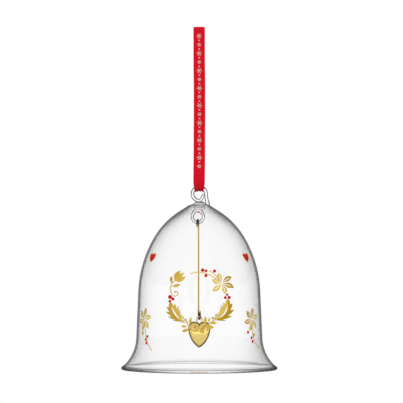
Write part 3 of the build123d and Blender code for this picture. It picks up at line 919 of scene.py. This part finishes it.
def press(name, drawing, height, turns, scene, made):
    """Lays a drawing on the bell, seen square on, and gives it the film's thickness.

    A point (x, z) goes to y = -sqrt(R(z)^2 - x^2), with R the glass's radius at that
    height plus the lift, and is then turned about the bell's axis. A patch that is
    wound clockwise is turned over first, so that it faces away from the glass.
    """
    prints = scene.ornament_prints
    radius, level, _ = bell_line(scene.ornament_glass)
    patches = []
    for turn in turns:
        for order, (points, tone, rise) in enumerate(drawing):
            wound = np.diff(points, axis=0)[:, :-1].conj() * np.diff(points, axis=1)[:-1]
            if wound.imag.sum() < 0:
                points, tone, rise = points[:, ::-1], tone[:, ::-1], rise[:, ::-1]
            x, z = points.real * MM, height + points.imag * MM
            reach = np.interp(z, level, radius) + prints.lift + order % 5 * 0.0015 * MM + rise * MM
            y = -np.sqrt(reach**2 - x**2)
            cos, sin = math.cos(turn), math.sin(turn)
            laid = np.stack([x * cos - y * sin, x * sin + y * cos, z], -1)
            patches.append(Patch(laid, tone=tone))
    piece = build(name, patches, made, closed=False)
    thicken(piece, prints.film, 1.0)
    return piece


def berries(places, prints):
    """Domed enamel berries, each a complex place and a radius."""
    drawing = []
    for place, radius in places:
        drawing += disc(place, radius, 0.3, prints.berry_dome / MM)
    return drawing


def wreath_at(prints, degrees, share=1.0):
    """A place on the wreath's circle, clockwise from the top, in drawing units."""
    return prints.wreath_radius / MM * share * 1j * np.exp(-1j * math.radians(degrees))


# Places on the wreath are degrees clockwise from the top and a share of its radius.
WREATH_PETALS = (
    (32, 7.0, 0.95), (108, 6.6, 0.2), (158, 6.4, 0.1),
    (218, 7.6, 0.15), (286, 7.0, 0.2), (337, 7.7, 0.9),
)
# tip, bend and tone of the bud's petals, from its foot
BUD_FOOT = -14.6 + 13.2j
BUD_PETALS = (
    (-11.2 + 19.1j, 0.75, 0.55), (-8.3 + 15.8j, -0.75, 0.3), (-9.2 + 18.0j, 0.0, 0.4),
)
# root, fork, and each open berry's place and radius
SPRAYS = (
    ((-161, 0.96), (-149, 0.83),
     ((-132, 0.79, 1.0), (-142, 0.77, 0.85), (-139, 0.88, 0.85))),
    ((163, 0.86), (146, 0.8),
     ((127, 0.74, 0.85), (139, 0.71, 0.85), (134.5, 0.82, 0.9))),
)
# root, tip, width and tone
SPRAY_LEAVES = (
    ((-155, 0.90), (-147, 0.77), 0.9, 0.3),
    ((-158, 0.88), (-151.5, 0.58), 1.5, 0.5),
    ((-154, 0.93), (-142, 1.03), 1.5, 0.5),
    ((-159, 0.97), (-149, 1.18), 1.9, 0.55),
    ((154, 0.79), (146, 0.63), 1.2, 0.45),
    ((166, 0.84), (155, 0.53), 2.1, 0.4),
    ((156, 0.79), (139, 0.95), 1.7, 0.5),
    ((166, 0.86), (150, 1.02), 2.2, 0.45),
)
# degrees, share and radius
WREATH_BERRIES = (
    (6, 1.12, 1.05), (12, 1.115, 0.85), (14, 0.955, 0.95), (26, 1.205, 0.95),
    (75, 1.0, 0.75), (80, 0.915, 0.9), (81, 1.05, 1.0),
    (-80, 1.03, 1.2), (-83, 0.92, 1.0), (-88, 1.02, 0.85),
)


def draw_wreath(prints):
    """The front wreath's gold: bud and flower above, toothed leaves, sprays and curls."""

    def at(degrees, share=1.0):
        """A place on the wreath's circle."""
        return wreath_at(prints, degrees, share)

    def twig(places, *style):
        """A line through places on the wreath."""
        return line([at(*place) for place in places], *style)

    # upper right: the long twig, the short one and the flower
    long_twig = (-18, 1.03), (-8, 1.045), (3, 1.04), (15, 1.02), (32, 1.0), (42, 0.97)
    drawing = twig(long_twig, 0.62, (0.8, 0.6), 0.2)
    drawing += twig(((17, 1.15), (26, 1.115), (36, 1.06), (44, 1.01)), STROKE, (1.0, 0.5), 0.2)
    drawing += blossom(at(50, 1.03), WREATH_PETALS, 3.0)
    # upper left: bud on its stem, two leaves and the curl under them
    for tip, bend, tone in BUD_PETALS:
        drawing += blade(BUD_FOOT, tip, 2.7, bend, tone, 0.8)
    drawing += disc(-12.6 + 14.8j, 1.65)
    stem = (-47, 1.12), (-56, 1.15), (-63, 1.11), (-70, 1.05), (-75, 0.97)
    drawing += twig(stem, 0.62, (0.8, 1.0), 0.35)
    drawing += curl(at(*stem[-1]), at(-68, 0.885), 0.78, 0.62, 0.4)
    drawing += blade(at(*stem[1]), at(-47, 1.33), 1.7, 0.15, 0.8, 1.2)
    drawing += blade(at(-60, 1.11), at(-46, 0.91), 2.0, -0.35, 0.4, 1.1)
    # toothed leaves at both sides
    teeth = (0.8, 0.9, 5, 0.5)
    drawing += blade(at(-137, 0.90), at(-90, 1.01), 8.2, 1.1, (0.75, 0.4), *teeth)
    drawing += blade(at(136, 0.84), at(83, 0.985), 8.4, -2.7, (0.2, 0.95), *teeth)
    # sprays of open berries with small leaves
    for root, fork, places in SPRAYS:
        root, fork = at(*root), at(*fork)
        for degrees, share, radius in places:
            berry = at(degrees, share)
            touch = at(degrees, share * 1.01) * 0.985 + fork * 0.015
            touch -= (berry - fork) / abs(berry - fork) * radius
            drawing += ring(berry, radius)
            drawing += line([root, fork, touch], 0.42, (1.0, 0.7), 0.3)
    for root, tip, width, tone in SPRAY_LEAVES:
        drawing += blade(at(*root), at(*tip), width, 0.15, tone, 1.15)
    # curls at the bottom
    for places, count, centre, turns in (
        (((-155, 0.94), (-160, 0.965), (-166, 0.995)), 12, (-171.5, 0.885), 0.86),
        (((158, 0.84), (163, 0.85), (170, 0.86), (176.5, 0.92)), 16, (173.5, 1.0), 0.82),
    ):
        drawing += twig(places, 0.66, (0.8, 1.0), 0.8, count)
        drawing += curl(at(*places[-1]), at(*centre), turns, 0.66, 0.8)
    return drawing


SPRIG_PETALS = (
    (12, 7.4, 0.35), (72, 7.3, 0.85), (132, 7.2, 0.9),
    (192, 7.4, 0.7), (252, 7.2, 0.6), (312, 7.5, 0.3),
)
# stems, bud and berries round the flower's middle
LEFT_SPRIG = (
    (0.6 - 1.5j, 1.6 - 6j, 2.9 - 10.5j, 5.6 - 15j, 10.1 - 18.8j),
    (-0.6 - 1.5j, -1.4 - 5.5j, -0.9 - 8.6j, 0.4 - 10.9j),
    -0.9 - 6.9j,
    ((4.3 - 10.4j, 0.95), (2.6 - 12.3j, 0.95), (3.6 - 14.4j, 1.0)),
)
RIGHT_SPRIG = (
    (0.4 - 1.5j, 0.2 - 6j, 0.9 - 10.5j, 3.2 - 14.6j, 7.2 - 18j),
    (-0.6 - 1.5j, -2.0 - 4.5j, -3.2 - 6.6j),
    2.4 - 8.4j,
    ((-4.3 - 7.7j, 0.95), (-0.9 - 11.2j, 0.95), (-13.5j, 1.0)),
)


def draw_sprig(stem, side_stem, bud):
    """A side sprig's gold: flower, two stems and a small bud."""
    drawing = blossom(0j, SPRIG_PETALS, 3.1)
    drawing += line(stem, 0.62, (0.6, 0.7), 0.5)
    drawing += line(side_stem, 0.5, (0.6, 0.6), 0.45)
    drawing += blade(bud, bud - 1.5 - 2.7j, 2.2, 0.1, 0.8, 0.9)
    return drawing


def heart_line(t, notch=1.0):
    """The heart's outline for a width and height of 1, its lobes' tops at z = 0.

    x is half of sin(t) to the power 2.8 with its sign. z is a sum of four cosines of t,
    two of which make the notch.
    """
    x = np.sign(np.sin(t)) * abs(np.sin(t)) ** 2.8 / 2
    cleft = 0.145 * np.cos(2 * t) - 0.0095 * np.cos(4 * t)
    return x, 0.5236 * np.cos(t) - 0.0945 * np.cos(3 * t) - notch * cleft - 0.4354


def draw_heart(prints, inner, outer, rise=0.0):
    """A band between two shares of a heart's size, or the whole heart from share 0."""
    width, height = prints.heart_width / MM, prints.heart_tall / MM
    t = np.linspace(0, TAU, 57)[:, None]
    share = np.linspace(inner, outer, 3 if inner else 8)[None, :]
    x, z = heart_line(t)
    middle = -0.44
    points = width * x * share + 1j * height * (middle + (z - middle) * share + 0.5)
    # a raised heart's tone rises towards its middle, so its edge is drawn darker
    tone = 0.4 + 0.5 * (1 - share) * bool(rise) + 0 * x
    return [drawn(points, tone, rise * (1 - share**2) + 0 * x)]


# ---- Clapper shapes ----------------------------------------------------------------
def make_heart(clapper, made):
    """The puffed heart: its outline shrunk towards each face.

    A layer at share s of the half depth is the outline times sqrt(1 - |s|^2.2) about a
    point 0.42 of the height below the top. The notch fades as 1 - 0.8|s|. At the seam
    the outline stands out by the seam's size, as exp(-(s / 0.035)^2).
    """
    low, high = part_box("heart_front")
    depth = 2 * abs(low.y) / 0.97
    width, height = high.x - low.x, high.z - low.z
    t = np.linspace(0, TAU, 220, endpoint=False)[None, :]
    share = np.sin(np.linspace(-math.pi / 2, math.pi / 2, 181))[:, None]
    size = np.sqrt(np.maximum(0, 1 - abs(share) ** 2.2))
    x, z = heart_line(t, 1 - 0.8 * abs(share))
    proud = 1 + clapper.seam / (width / 2) * (np.exp(-((share / 0.035) ** 2)) - 1)
    x = x * width * size * proud
    z = height * (-0.42 + (z + 0.42) * size * proud)
    points = np.stack([x, -share * depth / 2 + 0 * x, high.z + z], -1)
    return build("heart_clapper", [Patch(points, wrap_columns=True)], made, weld=0.003 * MM)


def make_bail(clapper):
    """The hanging ring: wire round two half bends and two straight sides, with a stem."""
    low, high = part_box("heart_bail")
    r = clapper.bail_radius
    top = high.z - clapper.bail_wire
    bottom = low.z + clapper.bail_stem
    bend = np.linspace(0, math.pi, 40)
    upper = upright(r * np.cos(bend), top - r + r * np.sin(bend))
    lower = upright(-r * np.cos(bend), bottom + r - r * np.sin(bend))
    side = np.linspace(0, 1, 10)[1:-1, None]
    left = upper[-1] + (lower[0] - upper[-1]) * side
    right = lower[-1] + (upper[0] - lower[-1]) * side
    ring_path = np.vstack([upper, left, lower, right])
    stem = upright(0.0, bottom - clapper.bail_stem * np.array([0, 0.45, 0.9]))
    return [
        tube(ring_path, clapper.bail_wire, (0, 1, 0), 24, closed=True),
        tube(stem, clapper.bail_wire, (0, 1, 0), 24),
    ]


def make_wire(clapper):
    """The straight wire with an open hook at each end.

    Each hook is a half circle about its pivot in a plane turned about the wire; the
    lower hook's free end narrows to a point. The wire is a fifth thicker and its tone 1
    at the hooks.
    """
    r = clapper.hook_arc
    bend = np.linspace(0, math.pi, 36)

    def hook(pivot, turn, up, tail):
        """A hook's half circle and its free end, turned about the wire."""
        arc = np.stack([0 * bend, r * np.cos(bend), up * r * np.sin(bend)], 1)
        free = np.array([0, -r, 0]) + np.linspace(0, 1, 14)[1:, None] * np.array([0, 0, -up * tail])
        local = np.vstack([arc, free])
        cos, sin = math.cos(turn), math.sin(turn)
        spun = np.stack(
            [local[:, 0] * cos - local[:, 1] * sin, local[:, 0] * sin + local[:, 1] * cos, local[:, 2]], 1
        )
        return pivot + spun

    upper = hook(JOINTS["clapper_swing"], -clapper.hook_turn, 1, clapper.upper_tail)[::-1]
    lower = hook(JOINTS["heart_swing"], clapper.hook_turn, -1, clapper.lower_tail)
    straight = upper[-1] + np.linspace(0, 1, 60)[1:-1, None] * (lower[0] - upper[-1])
    path = np.vstack([upper, straight, lower])
    left = np.linalg.norm(path - path[-1], axis=1)
    near_end = np.arange(len(path)) > len(path) - 14
    radius = np.where(near_end & (left < clapper.point), 0.2 + 0.8 * left / clapper.point, 1.0)
    top, low = JOINTS["clapper_swing"][2], JOINTS["heart_swing"][2] + 1 * MM

    def at_hooks(z):
        """1 at either hook and 0 along the straight wire."""
        above, below = (z - top) / (2 * MM), (z - low) / (2.6 * MM)
        return np.maximum(np.exp(-(above**2)), np.exp(-(below**2)))

    radius = radius * (1 + 0.2 * at_hooks(path[:, 2])) * clapper.wire_radius
    patch = tube(path, radius, (1, 0, 0), 20)
    # tone 1 draws the hooks all over in the plate's dark matt colour
    patch.tone = at_hooks(patch.points[:, 2])
    return patch


# ---- Ribbon shapes -----------------------------------------------------------------
def leg_y(ribbon, z, layers=0.5):
    """How far a leg's middle lies from the bell's middle plane at a height."""
    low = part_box("ribbon_loop")[0]
    fold_radius = -low.y - ribbon.thickness
    fold_z = low.z + ribbon.thickness + fold_radius
    opened = z / fold_z * (fold_radius - ribbon.hook_radius)
    return ribbon.hook_radius + layers * ribbon.thickness + opened


def ribbon_route(ribbon):
    """The ribbon's smooth line, read from a spline, as points in the YZ plane.

    It starts under the lap on the back leg, goes over the hook, down the front, round
    the glass rod and up the back to the lap's outer end.
    """
    low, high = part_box("ribbon_loop")
    half = ribbon.thickness / 2
    top, bottom = high.z - half, low.z + half
    lap_low = -ribbon.lap_top - ribbon.lap_length
    fold = ribbon.hook_radius + half
    wide = -low.y - half
    route = [
        (leg_y(ribbon, lap_low), lap_low),
        (leg_y(ribbon, -40 * MM), -40 * MM),
        (fold, -2 * MM),
        (fold, top),
        (-fold, top),
        (-fold, -2 * MM),
        (-leg_y(ribbon, -50 * MM), -50 * MM),
        (-wide, bottom + 6.2 * MM),
        (-wide, bottom),
        (wide, bottom),
        (wide, bottom + 6.2 * MM),
        (leg_y(ribbon, -82 * MM), -82 * MM),
        (leg_y(ribbon, -72.5 * MM, 1.6), -72.5 * MM),
        (leg_y(ribbon, -67 * MM, 1.6), -67 * MM),
        (leg_y(ribbon, -ribbon.lap_top, 1.6), -ribbon.lap_top),
    ]
    curve = bpy.data.curves.new("ribbon_route", "CURVE")
    curve.dimensions = "3D"
    curve.resolution_u = 48
    spline = curve.splines.new("NURBS")
    spline.points.add(len(route) - 1)
    flat = np.array([(0.0, y, z, 1.0) for y, z in route])
    spline.points.foreach_set("co", flat.ravel())
    spline.order_u = 3
    spline.use_endpoint_u = True
    carrier = bpy.data.objects.new("ribbon_route", curve)
    bpy.context.scene.collection.objects.link(carrier)
    bpy.context.view_layer.update()
    mesh = bpy.data.meshes.new_from_object(carrier)
    points = np.zeros(len(mesh.vertices) * 3)
    mesh.vertices.foreach_get("co", points)
    bpy.data.meshes.remove(mesh)
    bpy.data.objects.remove(carrier)
    bpy.data.curves.remove(curve)
    return points.reshape(-1, 3)


def bell_curve(distance, reach):
    """1 at no distance, falling as exp(-(distance / reach)^2)."""
    return np.exp(-((distance / reach) ** 2))


class RibbonShape:
    """The ribbon's surface as a function of distance along it and share across it."""

    def __init__(self, ribbon):
        self.ribbon = ribbon
        self.route = ribbon_route(ribbon)
        gaps = np.linalg.norm(np.diff(self.route, axis=0), axis=1)
        self.reach = np.append(0, np.cumsum(gaps))
        self.length = self.reach[-1]
        self.fold_at = self.reach[np.argmin(self.route[:, 2])]

    def at(self, along, across, lift=0.0):
        """The surface at a distance along and a share -1..1 across, raised by lift.

        The width falls by the gather as exp(-(d / 3.6 mm)^2) from the bottom fold. Pleats
        are a raised sine of the share, as deep as the pleat there and fading upwards.
        Round the fold the sides stand out further, as the glass rod they lie on bends.
        """
        ribbon = self.ribbon

        def place(reach):
            """The route's y and z at a distance along it."""
            return np.stack([np.interp(reach, self.reach, self.route[:, k]) for k in (1, 2)], -1)

        tangent = unit(place(along + 0.02 * MM) - place(along - 0.02 * MM))
        # across is +X, so the outward normal is to the left of the way over the hook
        normal = np.stack([tangent[..., 1], -tangent[..., 0]], -1)
        distance = abs(along - self.fold_at)
        near = bell_curve(distance, 3.6 * MM)
        half = ribbon.width / 2 * (1 + 0.01 * np.sin(along * 210)) - ribbon.gather / 2 * near
        sign = np.sign(along - self.fold_at)
        deep = 0.8 * bell_curve(distance, 4.2 * MM) + 0.28 * bell_curve(distance, 9.5 * MM)
        hollow = 0.5 - 0.5 * np.cos(across * 8.6 + 0.9 + 0.25 * sign + distance * 40)
        fold = ribbon.pleat * deep * hollow
        crown = 0.12 * MM * (1 - across**2) * np.sin(along * 95 + 1.0) * (1 - near)
        x = half * across + 0.12 * MM * np.sin(along * 60)
        rolled = np.exp(-((distance / (5.5 * MM)) ** 4))
        flare = rolled * 0.25 * np.maximum(0, abs(x) - 0.75 * MM) ** 2 / MM
        offset = fold + crown + lift + flare
        return np.concatenate([x[..., None], place(along) + normal * offset[..., None]], -1)


def make_ribbon(shape):
    """The ribbon as a closed thin strip: its surface raised and lowered.

    The lift is half the thickness, with rounded selvedges a quarter thicker than the
    middle. Tone is 1 in the hollows of the pleats, where the satin gets painted shade.
    """
    ribbon = shape.ribbon
    rows = np.linspace(0, shape.length, 420)
    fold_rows = shape.fold_at + np.linspace(-12 * MM, 12 * MM, 130)
    along = np.unique(np.concatenate([rows, fold_rows]))[:, None]
    turn = np.linspace(0, TAU, 108, endpoint=False)[None, :]
    across = np.cos(turn)
    selvedge = 1 + 0.25 * np.exp(-(((abs(across) - 0.94) / 0.03) ** 2))
    lift = ribbon.thickness / 2 * np.sign(np.sin(turn)) * abs(np.sin(turn)) ** 0.35 * selvedge
    points = shape.at(along + 0 * turn, across + 0 * along, lift + 0 * along)
    uv = np.stack([along + 0 * turn, across * ribbon.width / 2 + 0 * along], -1)
    distance = abs(along - shape.fold_at)
    hollow = 0.5 + 0.5 * np.cos(across * 8.6 + 0.9 + distance * 40)
    # painted shade in the hollows of the pleats near the bottom fold
    gathers = bell_curve(distance, 6 * MM) * hollow
    body = Patch(points, wrap_columns=True, uv=uv, tone=gathers)
    ends = []
    for row in (0, -1):
        rim = points[row]
        middle = shape.at(along[row], across[0], 0 * lift[0])
        share = np.linspace(0, 1, 3)[:, None, None]
        cap = rim[None] * (1 - share) + middle[None] * share
        ends.append(Patch(cap, wrap_columns=True, uv=np.repeat(uv[row][None], 3, 0)))
    return [body, *ends]


def make_seam(shape):
    """Two rows of short stitches over the lap: bars that dip into it at both ends."""
    ribbon = shape.ribbon
    patches = []
    u = np.linspace(0, 1, 13)
    for row in range(2):
        for column in range(4):
            across = -0.6 + 0.4 * column + 0.03 * math.sin(row * 5 + column * 3)
            middle = shape.length - ribbon.lap_length * (row + 1) / 3
            along = middle + 1.4 * MM * (u - 0.5)
            side = across + 0.05 * (u - 0.5)
            lift = ribbon.thickness / 2 + 0.13 * MM * np.sin(math.pi * u) - 0.06 * MM
            patches.append(tube(shape.at(along, side, lift), 0.11 * MM, (1, 0, 0), 10))
    return patches


def make_foil(shape):
    """Foil on the front leg: six-armed stars with dots between them.

    A star is three thin bars through its centre that narrow to both ends; a mark is a
    small grid laid a few hundredths above the ribbon.
    """
    ribbon = shape.ribbon
    top_at = shape.reach[np.argmax(shape.route[:, 2])]
    u, v = np.linspace(-1, 1, 9)[:, None], np.linspace(-1, 1, 4)[None, :]
    ways = np.exp(1j * math.pi / 3 * np.arange(3))
    spot = disc(0, ribbon.dot)[0][0]
    lift = ribbon.thickness / 2 + 0.03 * MM
    patches = []
    for i, down in enumerate(np.linspace(0, ribbon.foil_run, 31)):
        size = ribbon.star if i % 4 == 0 else ribbon.small_star
        star = [way * (size * u + 0.24j * MM * v * (1 - 0.4 * abs(u))) for way in ways]
        for flat in star if i % 2 == 0 else [spot]:
            along = top_at + ribbon.foil_top + down + flat.imag
            laid = shape.at(along, flat.real / (ribbon.width / 2), lift)
            patches.append(Patch(laid[:, ::-1]))
    return patches


# ---- Operators ---------------------------------------------------------------------
class ORNAMENT_OT_stage(bpy.types.Operator):
    """Set up the camera, the floor and the soft studio light"""

    bl_idname = "ornament.stage"
    bl_label = "Stage"

    def execute(self, context):
        scene = context.scene
        glass, stage = scene.ornament_glass, scene.ornament_stage
        rim = rim_z(glass)
        lens = bpy.data.cameras.new("camera")
        lens.lens, lens.sensor_width = stage.lens, 36.0
        lens.clip_start, lens.clip_end = 0.05, 20.0
        camera = bpy.data.objects.new("camera", lens)
        camera.location = (stage.camera_side, -stage.distance, rim + stage.camera_height)
        camera.rotation_euler = (math.pi / 2, 0, 0)
        scene.collection.objects.link(camera)
        scene.camera = camera

        share = np.linspace(0, 1, 24)
        patch = lathe(stage.floor_radius * share, np.full(24, rim - stage.floor_drop), 96)
        floor = build("studio_floor", [patch], floor_paint(stage))

        for name, place, size, power in (
            ("key_light", (-0.9, -1.3, 0.75), 0.9, 9.0),
            ("fill_light", (1.2, -1.0, 0.15), 0.9, 3.5),
            ("back_light", (0.3, 1.5, 0.8), 0.8, 5.0),
        ):
            lamp = bpy.data.lights.new(name, "AREA")
            lamp.size, lamp.energy = size, power
            light = bpy.data.objects.new(name, lamp)
            light.location = place
            aim = Vector((0, 0, rim + 60 * MM)) - Vector(place)
            light.rotation_euler = aim.to_track_quat("-Z", "Y").to_euler()
            light.visible_camera = light.visible_glossy = light.visible_transmission = False
            scene.collection.objects.link(light)

        world = bpy.data.worlds.new("studio")
        scene.world = world
        recipe = Recipe(world)
        x, y, z = recipe.split(recipe.node("ShaderNodeTexCoord", None, None, "Generated"))
        round_about = x.math("ARCTAN2", y, x)
        strips = (x.math("COSINE", round_about * 4.0) * 0.5 + 0.5).between(0.0, 1.0)
        around = strips * 0.1 + 1.42 - z.between(-0.35, 0.6) * 0.7
        glossy, inside, diffuse = (
            recipe.node("ShaderNodeLightPath", None, None, f"{kind} Depth").between(low, high)
            for kind, low, high in (
                ("Glossy", 0.2, 0.8), ("Transmission", 2.2, 3.8), ("Diffuse", 0.2, 0.8)
            )
        )
        # first reflections are dark, those seen through the glass are bright
        reflected = around * inside + (strips * 0.12 + 0.16) * (1 - inside)
        shade = reflected * glossy + (1 - glossy)
        strength = shade * (1 - diffuse) + diffuse * stage.ambient
        glow = recipe.node("ShaderNodeBackground", None, {"Color": (1, 1, 1, 1), "Strength": strength})
        recipe.finish(glow, "ShaderNodeOutputWorld")
        scene.view_settings.view_transform = "Standard"
        return {"FINISHED"}


class ORNAMENT_OT_ribbon(bpy.types.Operator):
    """Make the satin ribbon with its sewn lap and its foil pattern"""

    bl_idname = "ornament.ribbon"
    bl_label = "Satin Ribbon"

    def execute(self, context):
        ribbon = context.scene.ornament_ribbon
        shape = RibbonShape(ribbon)
        band = build("satin_ribbon", make_ribbon(shape), satin(ribbon), weld=0.0002 * MM)
        seam = build("seam_thread", make_seam(shape), thread(ribbon))
        foil = build("foil_stars", make_foil(shape), pressed_foil(ribbon), weld=1e-8, closed=False)
        thicken(foil, 0.02 * MM, 0.0)
        arrive(band, "ribbon", "satin_ribbon", "ribbon_loop")
        arrive(seam, "ribbon", "sewing_thread", "seam_stitches")
        arrive(foil, "ribbon", "satin_ribbon")
        return {"FINISHED"}


class ORNAMENT_OT_glass_bell(bpy.types.Operator):
    """Blow the bell with its crown and its fire-polished rim"""

    bl_idname = "ornament.glass_bell"
    bl_label = "Glass Bell"

    def execute(self, context):
        bell = make_bell(context.scene.ornament_glass)
        bell.visible_shadow = False
        arrive(bell, "bell", "blown_glass", "bell_shell", "crown_plug")
        return {"FINISHED"}


class ORNAMENT_OT_glass_loops(bpy.types.Operator):
    """Draw the hanging loop on the crown and the ring for the clapper inside"""

    bl_idname = "ornament.glass_loops"
    bl_label = "Glass Loops"

    def execute(self, context):
        glass = context.scene.ornament_glass
        made = drawn_glass(glass)
        for name, patch, node in (
            ("glass_hanging_loop", make_hanging_loop(glass), "hanging_loop"),
            ("glass_clapper_ring", make_clapper_ring(glass), "clapper_loop"),
        ):
            loop = build(name, [patch], made, weld=1e-6)
            loop.visible_shadow = False
            arrive(loop, "bell", "blown_glass", node)
        return {"FINISHED"}


class ORNAMENT_OT_wreath(bpy.types.Operator):
    """Fire the gold wreath and its berries on the bell's front"""

    bl_idname = "ornament.wreath"
    bl_label = "Wreath Print"

    def execute(self, context):
        scene = context.scene
        prints = scene.ornament_prints
        height = rim_z(scene.ornament_glass) + prints.wreath_height
        places = [(wreath_at(prints, *place), radius) for *place, radius in WREATH_BERRIES]
        for kind, drawing, made, slot in (
            ("gold", draw_wreath(prints), fired_gold(prints), "fired_gold"),
            ("berries", berries(places, prints), red_enamel(prints), "red_enamel"),
        ):
            piece = press(f"wreath_{kind}", drawing, height, (0.0,), scene, made)
            arrive(piece, "bell", slot, f"wreath_{kind}_print")
        return {"FINISHED"}


class ORNAMENT_OT_side_prints(bpy.types.Operator):
    """Fire the sprigs and the small hearts on the bell's sides"""

    bl_idname = "ornament.side_prints"
    bl_label = "Side Prints"

    def execute(self, context):
        scene = context.scene
        prints = scene.ornament_prints
        gold = bpy.data.materials["print_gold"], "fired_gold"
        red = bpy.data.materials["print_enamel"], "red_enamel"
        rim = rim_z(scene.ornament_glass)
        height = rim + prints.sprig_height
        for side, turn, (*drawn_gold, places) in (
            ("left", prints.left_turn, LEFT_SPRIG),
            ("right", prints.right_turn, RIGHT_SPRIG),
        ):
            for kind, drawing, (made, slot) in (
                ("gold", draw_sprig(*drawn_gold), gold),
                ("berries", berries(places, prints), red),
            ):
                piece = press(f"{side}_sprig_{kind}", drawing, height, (turn,), scene, made)
                arrive(piece, "bell", slot, f"sprig_{kind}_print")
        height = rim + prints.heart_height
        turns = (-prints.heart_turn, prints.heart_turn)
        for kind, drawing, (made, slot) in (
            ("outline", draw_heart(prints, 0.84, 1.0), gold),
            ("red", draw_heart(prints, 0.0, 0.83, 0.1), red),
        ):
            piece = press(f"heart_{kind}", drawing, height, turns, scene, made)
            arrive(piece, "bell", slot, f"heart_{kind}_print")
        return {"FINISHED"}


class ORNAMENT_OT_hooked_wire(bpy.types.Operator):
    """Bend the wire that carries the heart"""

    bl_idname = "ornament.hooked_wire"
    bl_label = "Hooked Wire"

    def execute(self, context):
        clapper = context.scene.ornament_clapper
        made = gold_plate(clapper, "wire_plate", clapper.wire, 1800.0, 0.2, (0.04, 0.5))
        wire = build("gold_hooked_wire", [make_wire(clapper)], made)
        arrive(wire, "wire", "gold_plate", "hooked_wire")
        return {"FINISHED"}


class ORNAMENT_OT_heart(bpy.types.Operator):
    """Stamp the puffed heart and solder in its hanging ring"""

    bl_idname = "ornament.heart"
    bl_label = "Heart Clapper"

    def execute(self, context):
        clapper = context.scene.ornament_clapper
        made = gold_plate(clapper, "heart_plate", clapper.plate, 900.0, 0.1, (0.12, 0.38))
        arrive(make_heart(clapper, made), "heart", "gold_plate", "heart_front", "heart_back")
        arrive(build("heart_ring", make_bail(clapper), made), "heart", "gold_plate", "heart_bail")
        return {"FINISHED"}


class ORNAMENT_PT_panel(bpy.types.Panel):
    """The ornament's steps, in the sidebar"""

    bl_idname = "ORNAMENT_PT_panel"
    bl_label = "Glass Bell Ornament"
    bl_space_type = "VIEW_3D"
    bl_region_type = "UI"
    bl_category = "Ornament"

    def draw(self, context):
        for step in STEPS:
            self.layout.operator(step.bl_idname)


STEPS = (
    ORNAMENT_OT_stage,
    ORNAMENT_OT_ribbon,
    ORNAMENT_OT_glass_bell,
    ORNAMENT_OT_glass_loops,
    ORNAMENT_OT_wreath,
    ORNAMENT_OT_side_prints,
    ORNAMENT_OT_hooked_wire,
    ORNAMENT_OT_heart,
)
GROUPS = {
    "ornament_glass": GlassSettings,
    "ornament_prints": PrintSettings,
    "ornament_clapper": ClapperSettings,
    "ornament_ribbon": RibbonSettings,
    "ornament_stage": StageSettings,
}


def register():
    """Registers the settings, the steps and the panel."""
    for name, group in GROUPS.items():
        bpy.utils.register_class(group)
        setattr(bpy.types.Scene, name, PointerProperty(type=group))
    for step in (*STEPS, ORNAMENT_PT_panel):
        bpy.utils.register_class(step)


def unregister():
    """Takes back what register did."""
    for step in (ORNAMENT_PT_panel, *STEPS):
        bpy.utils.unregister_class(step)
    for name, group in GROUPS.items():
        delattr(bpy.types.Scene, name)
        bpy.utils.unregister_class(group)


def main():
    """Runs every step in order."""
    register()
    for step in STEPS:
        family, action = step.bl_idname.split(".")
        getattr(getattr(bpy.ops, family), action)()
    bpy.context.view_layer.update()


if __name__ == "__main__":
    main()
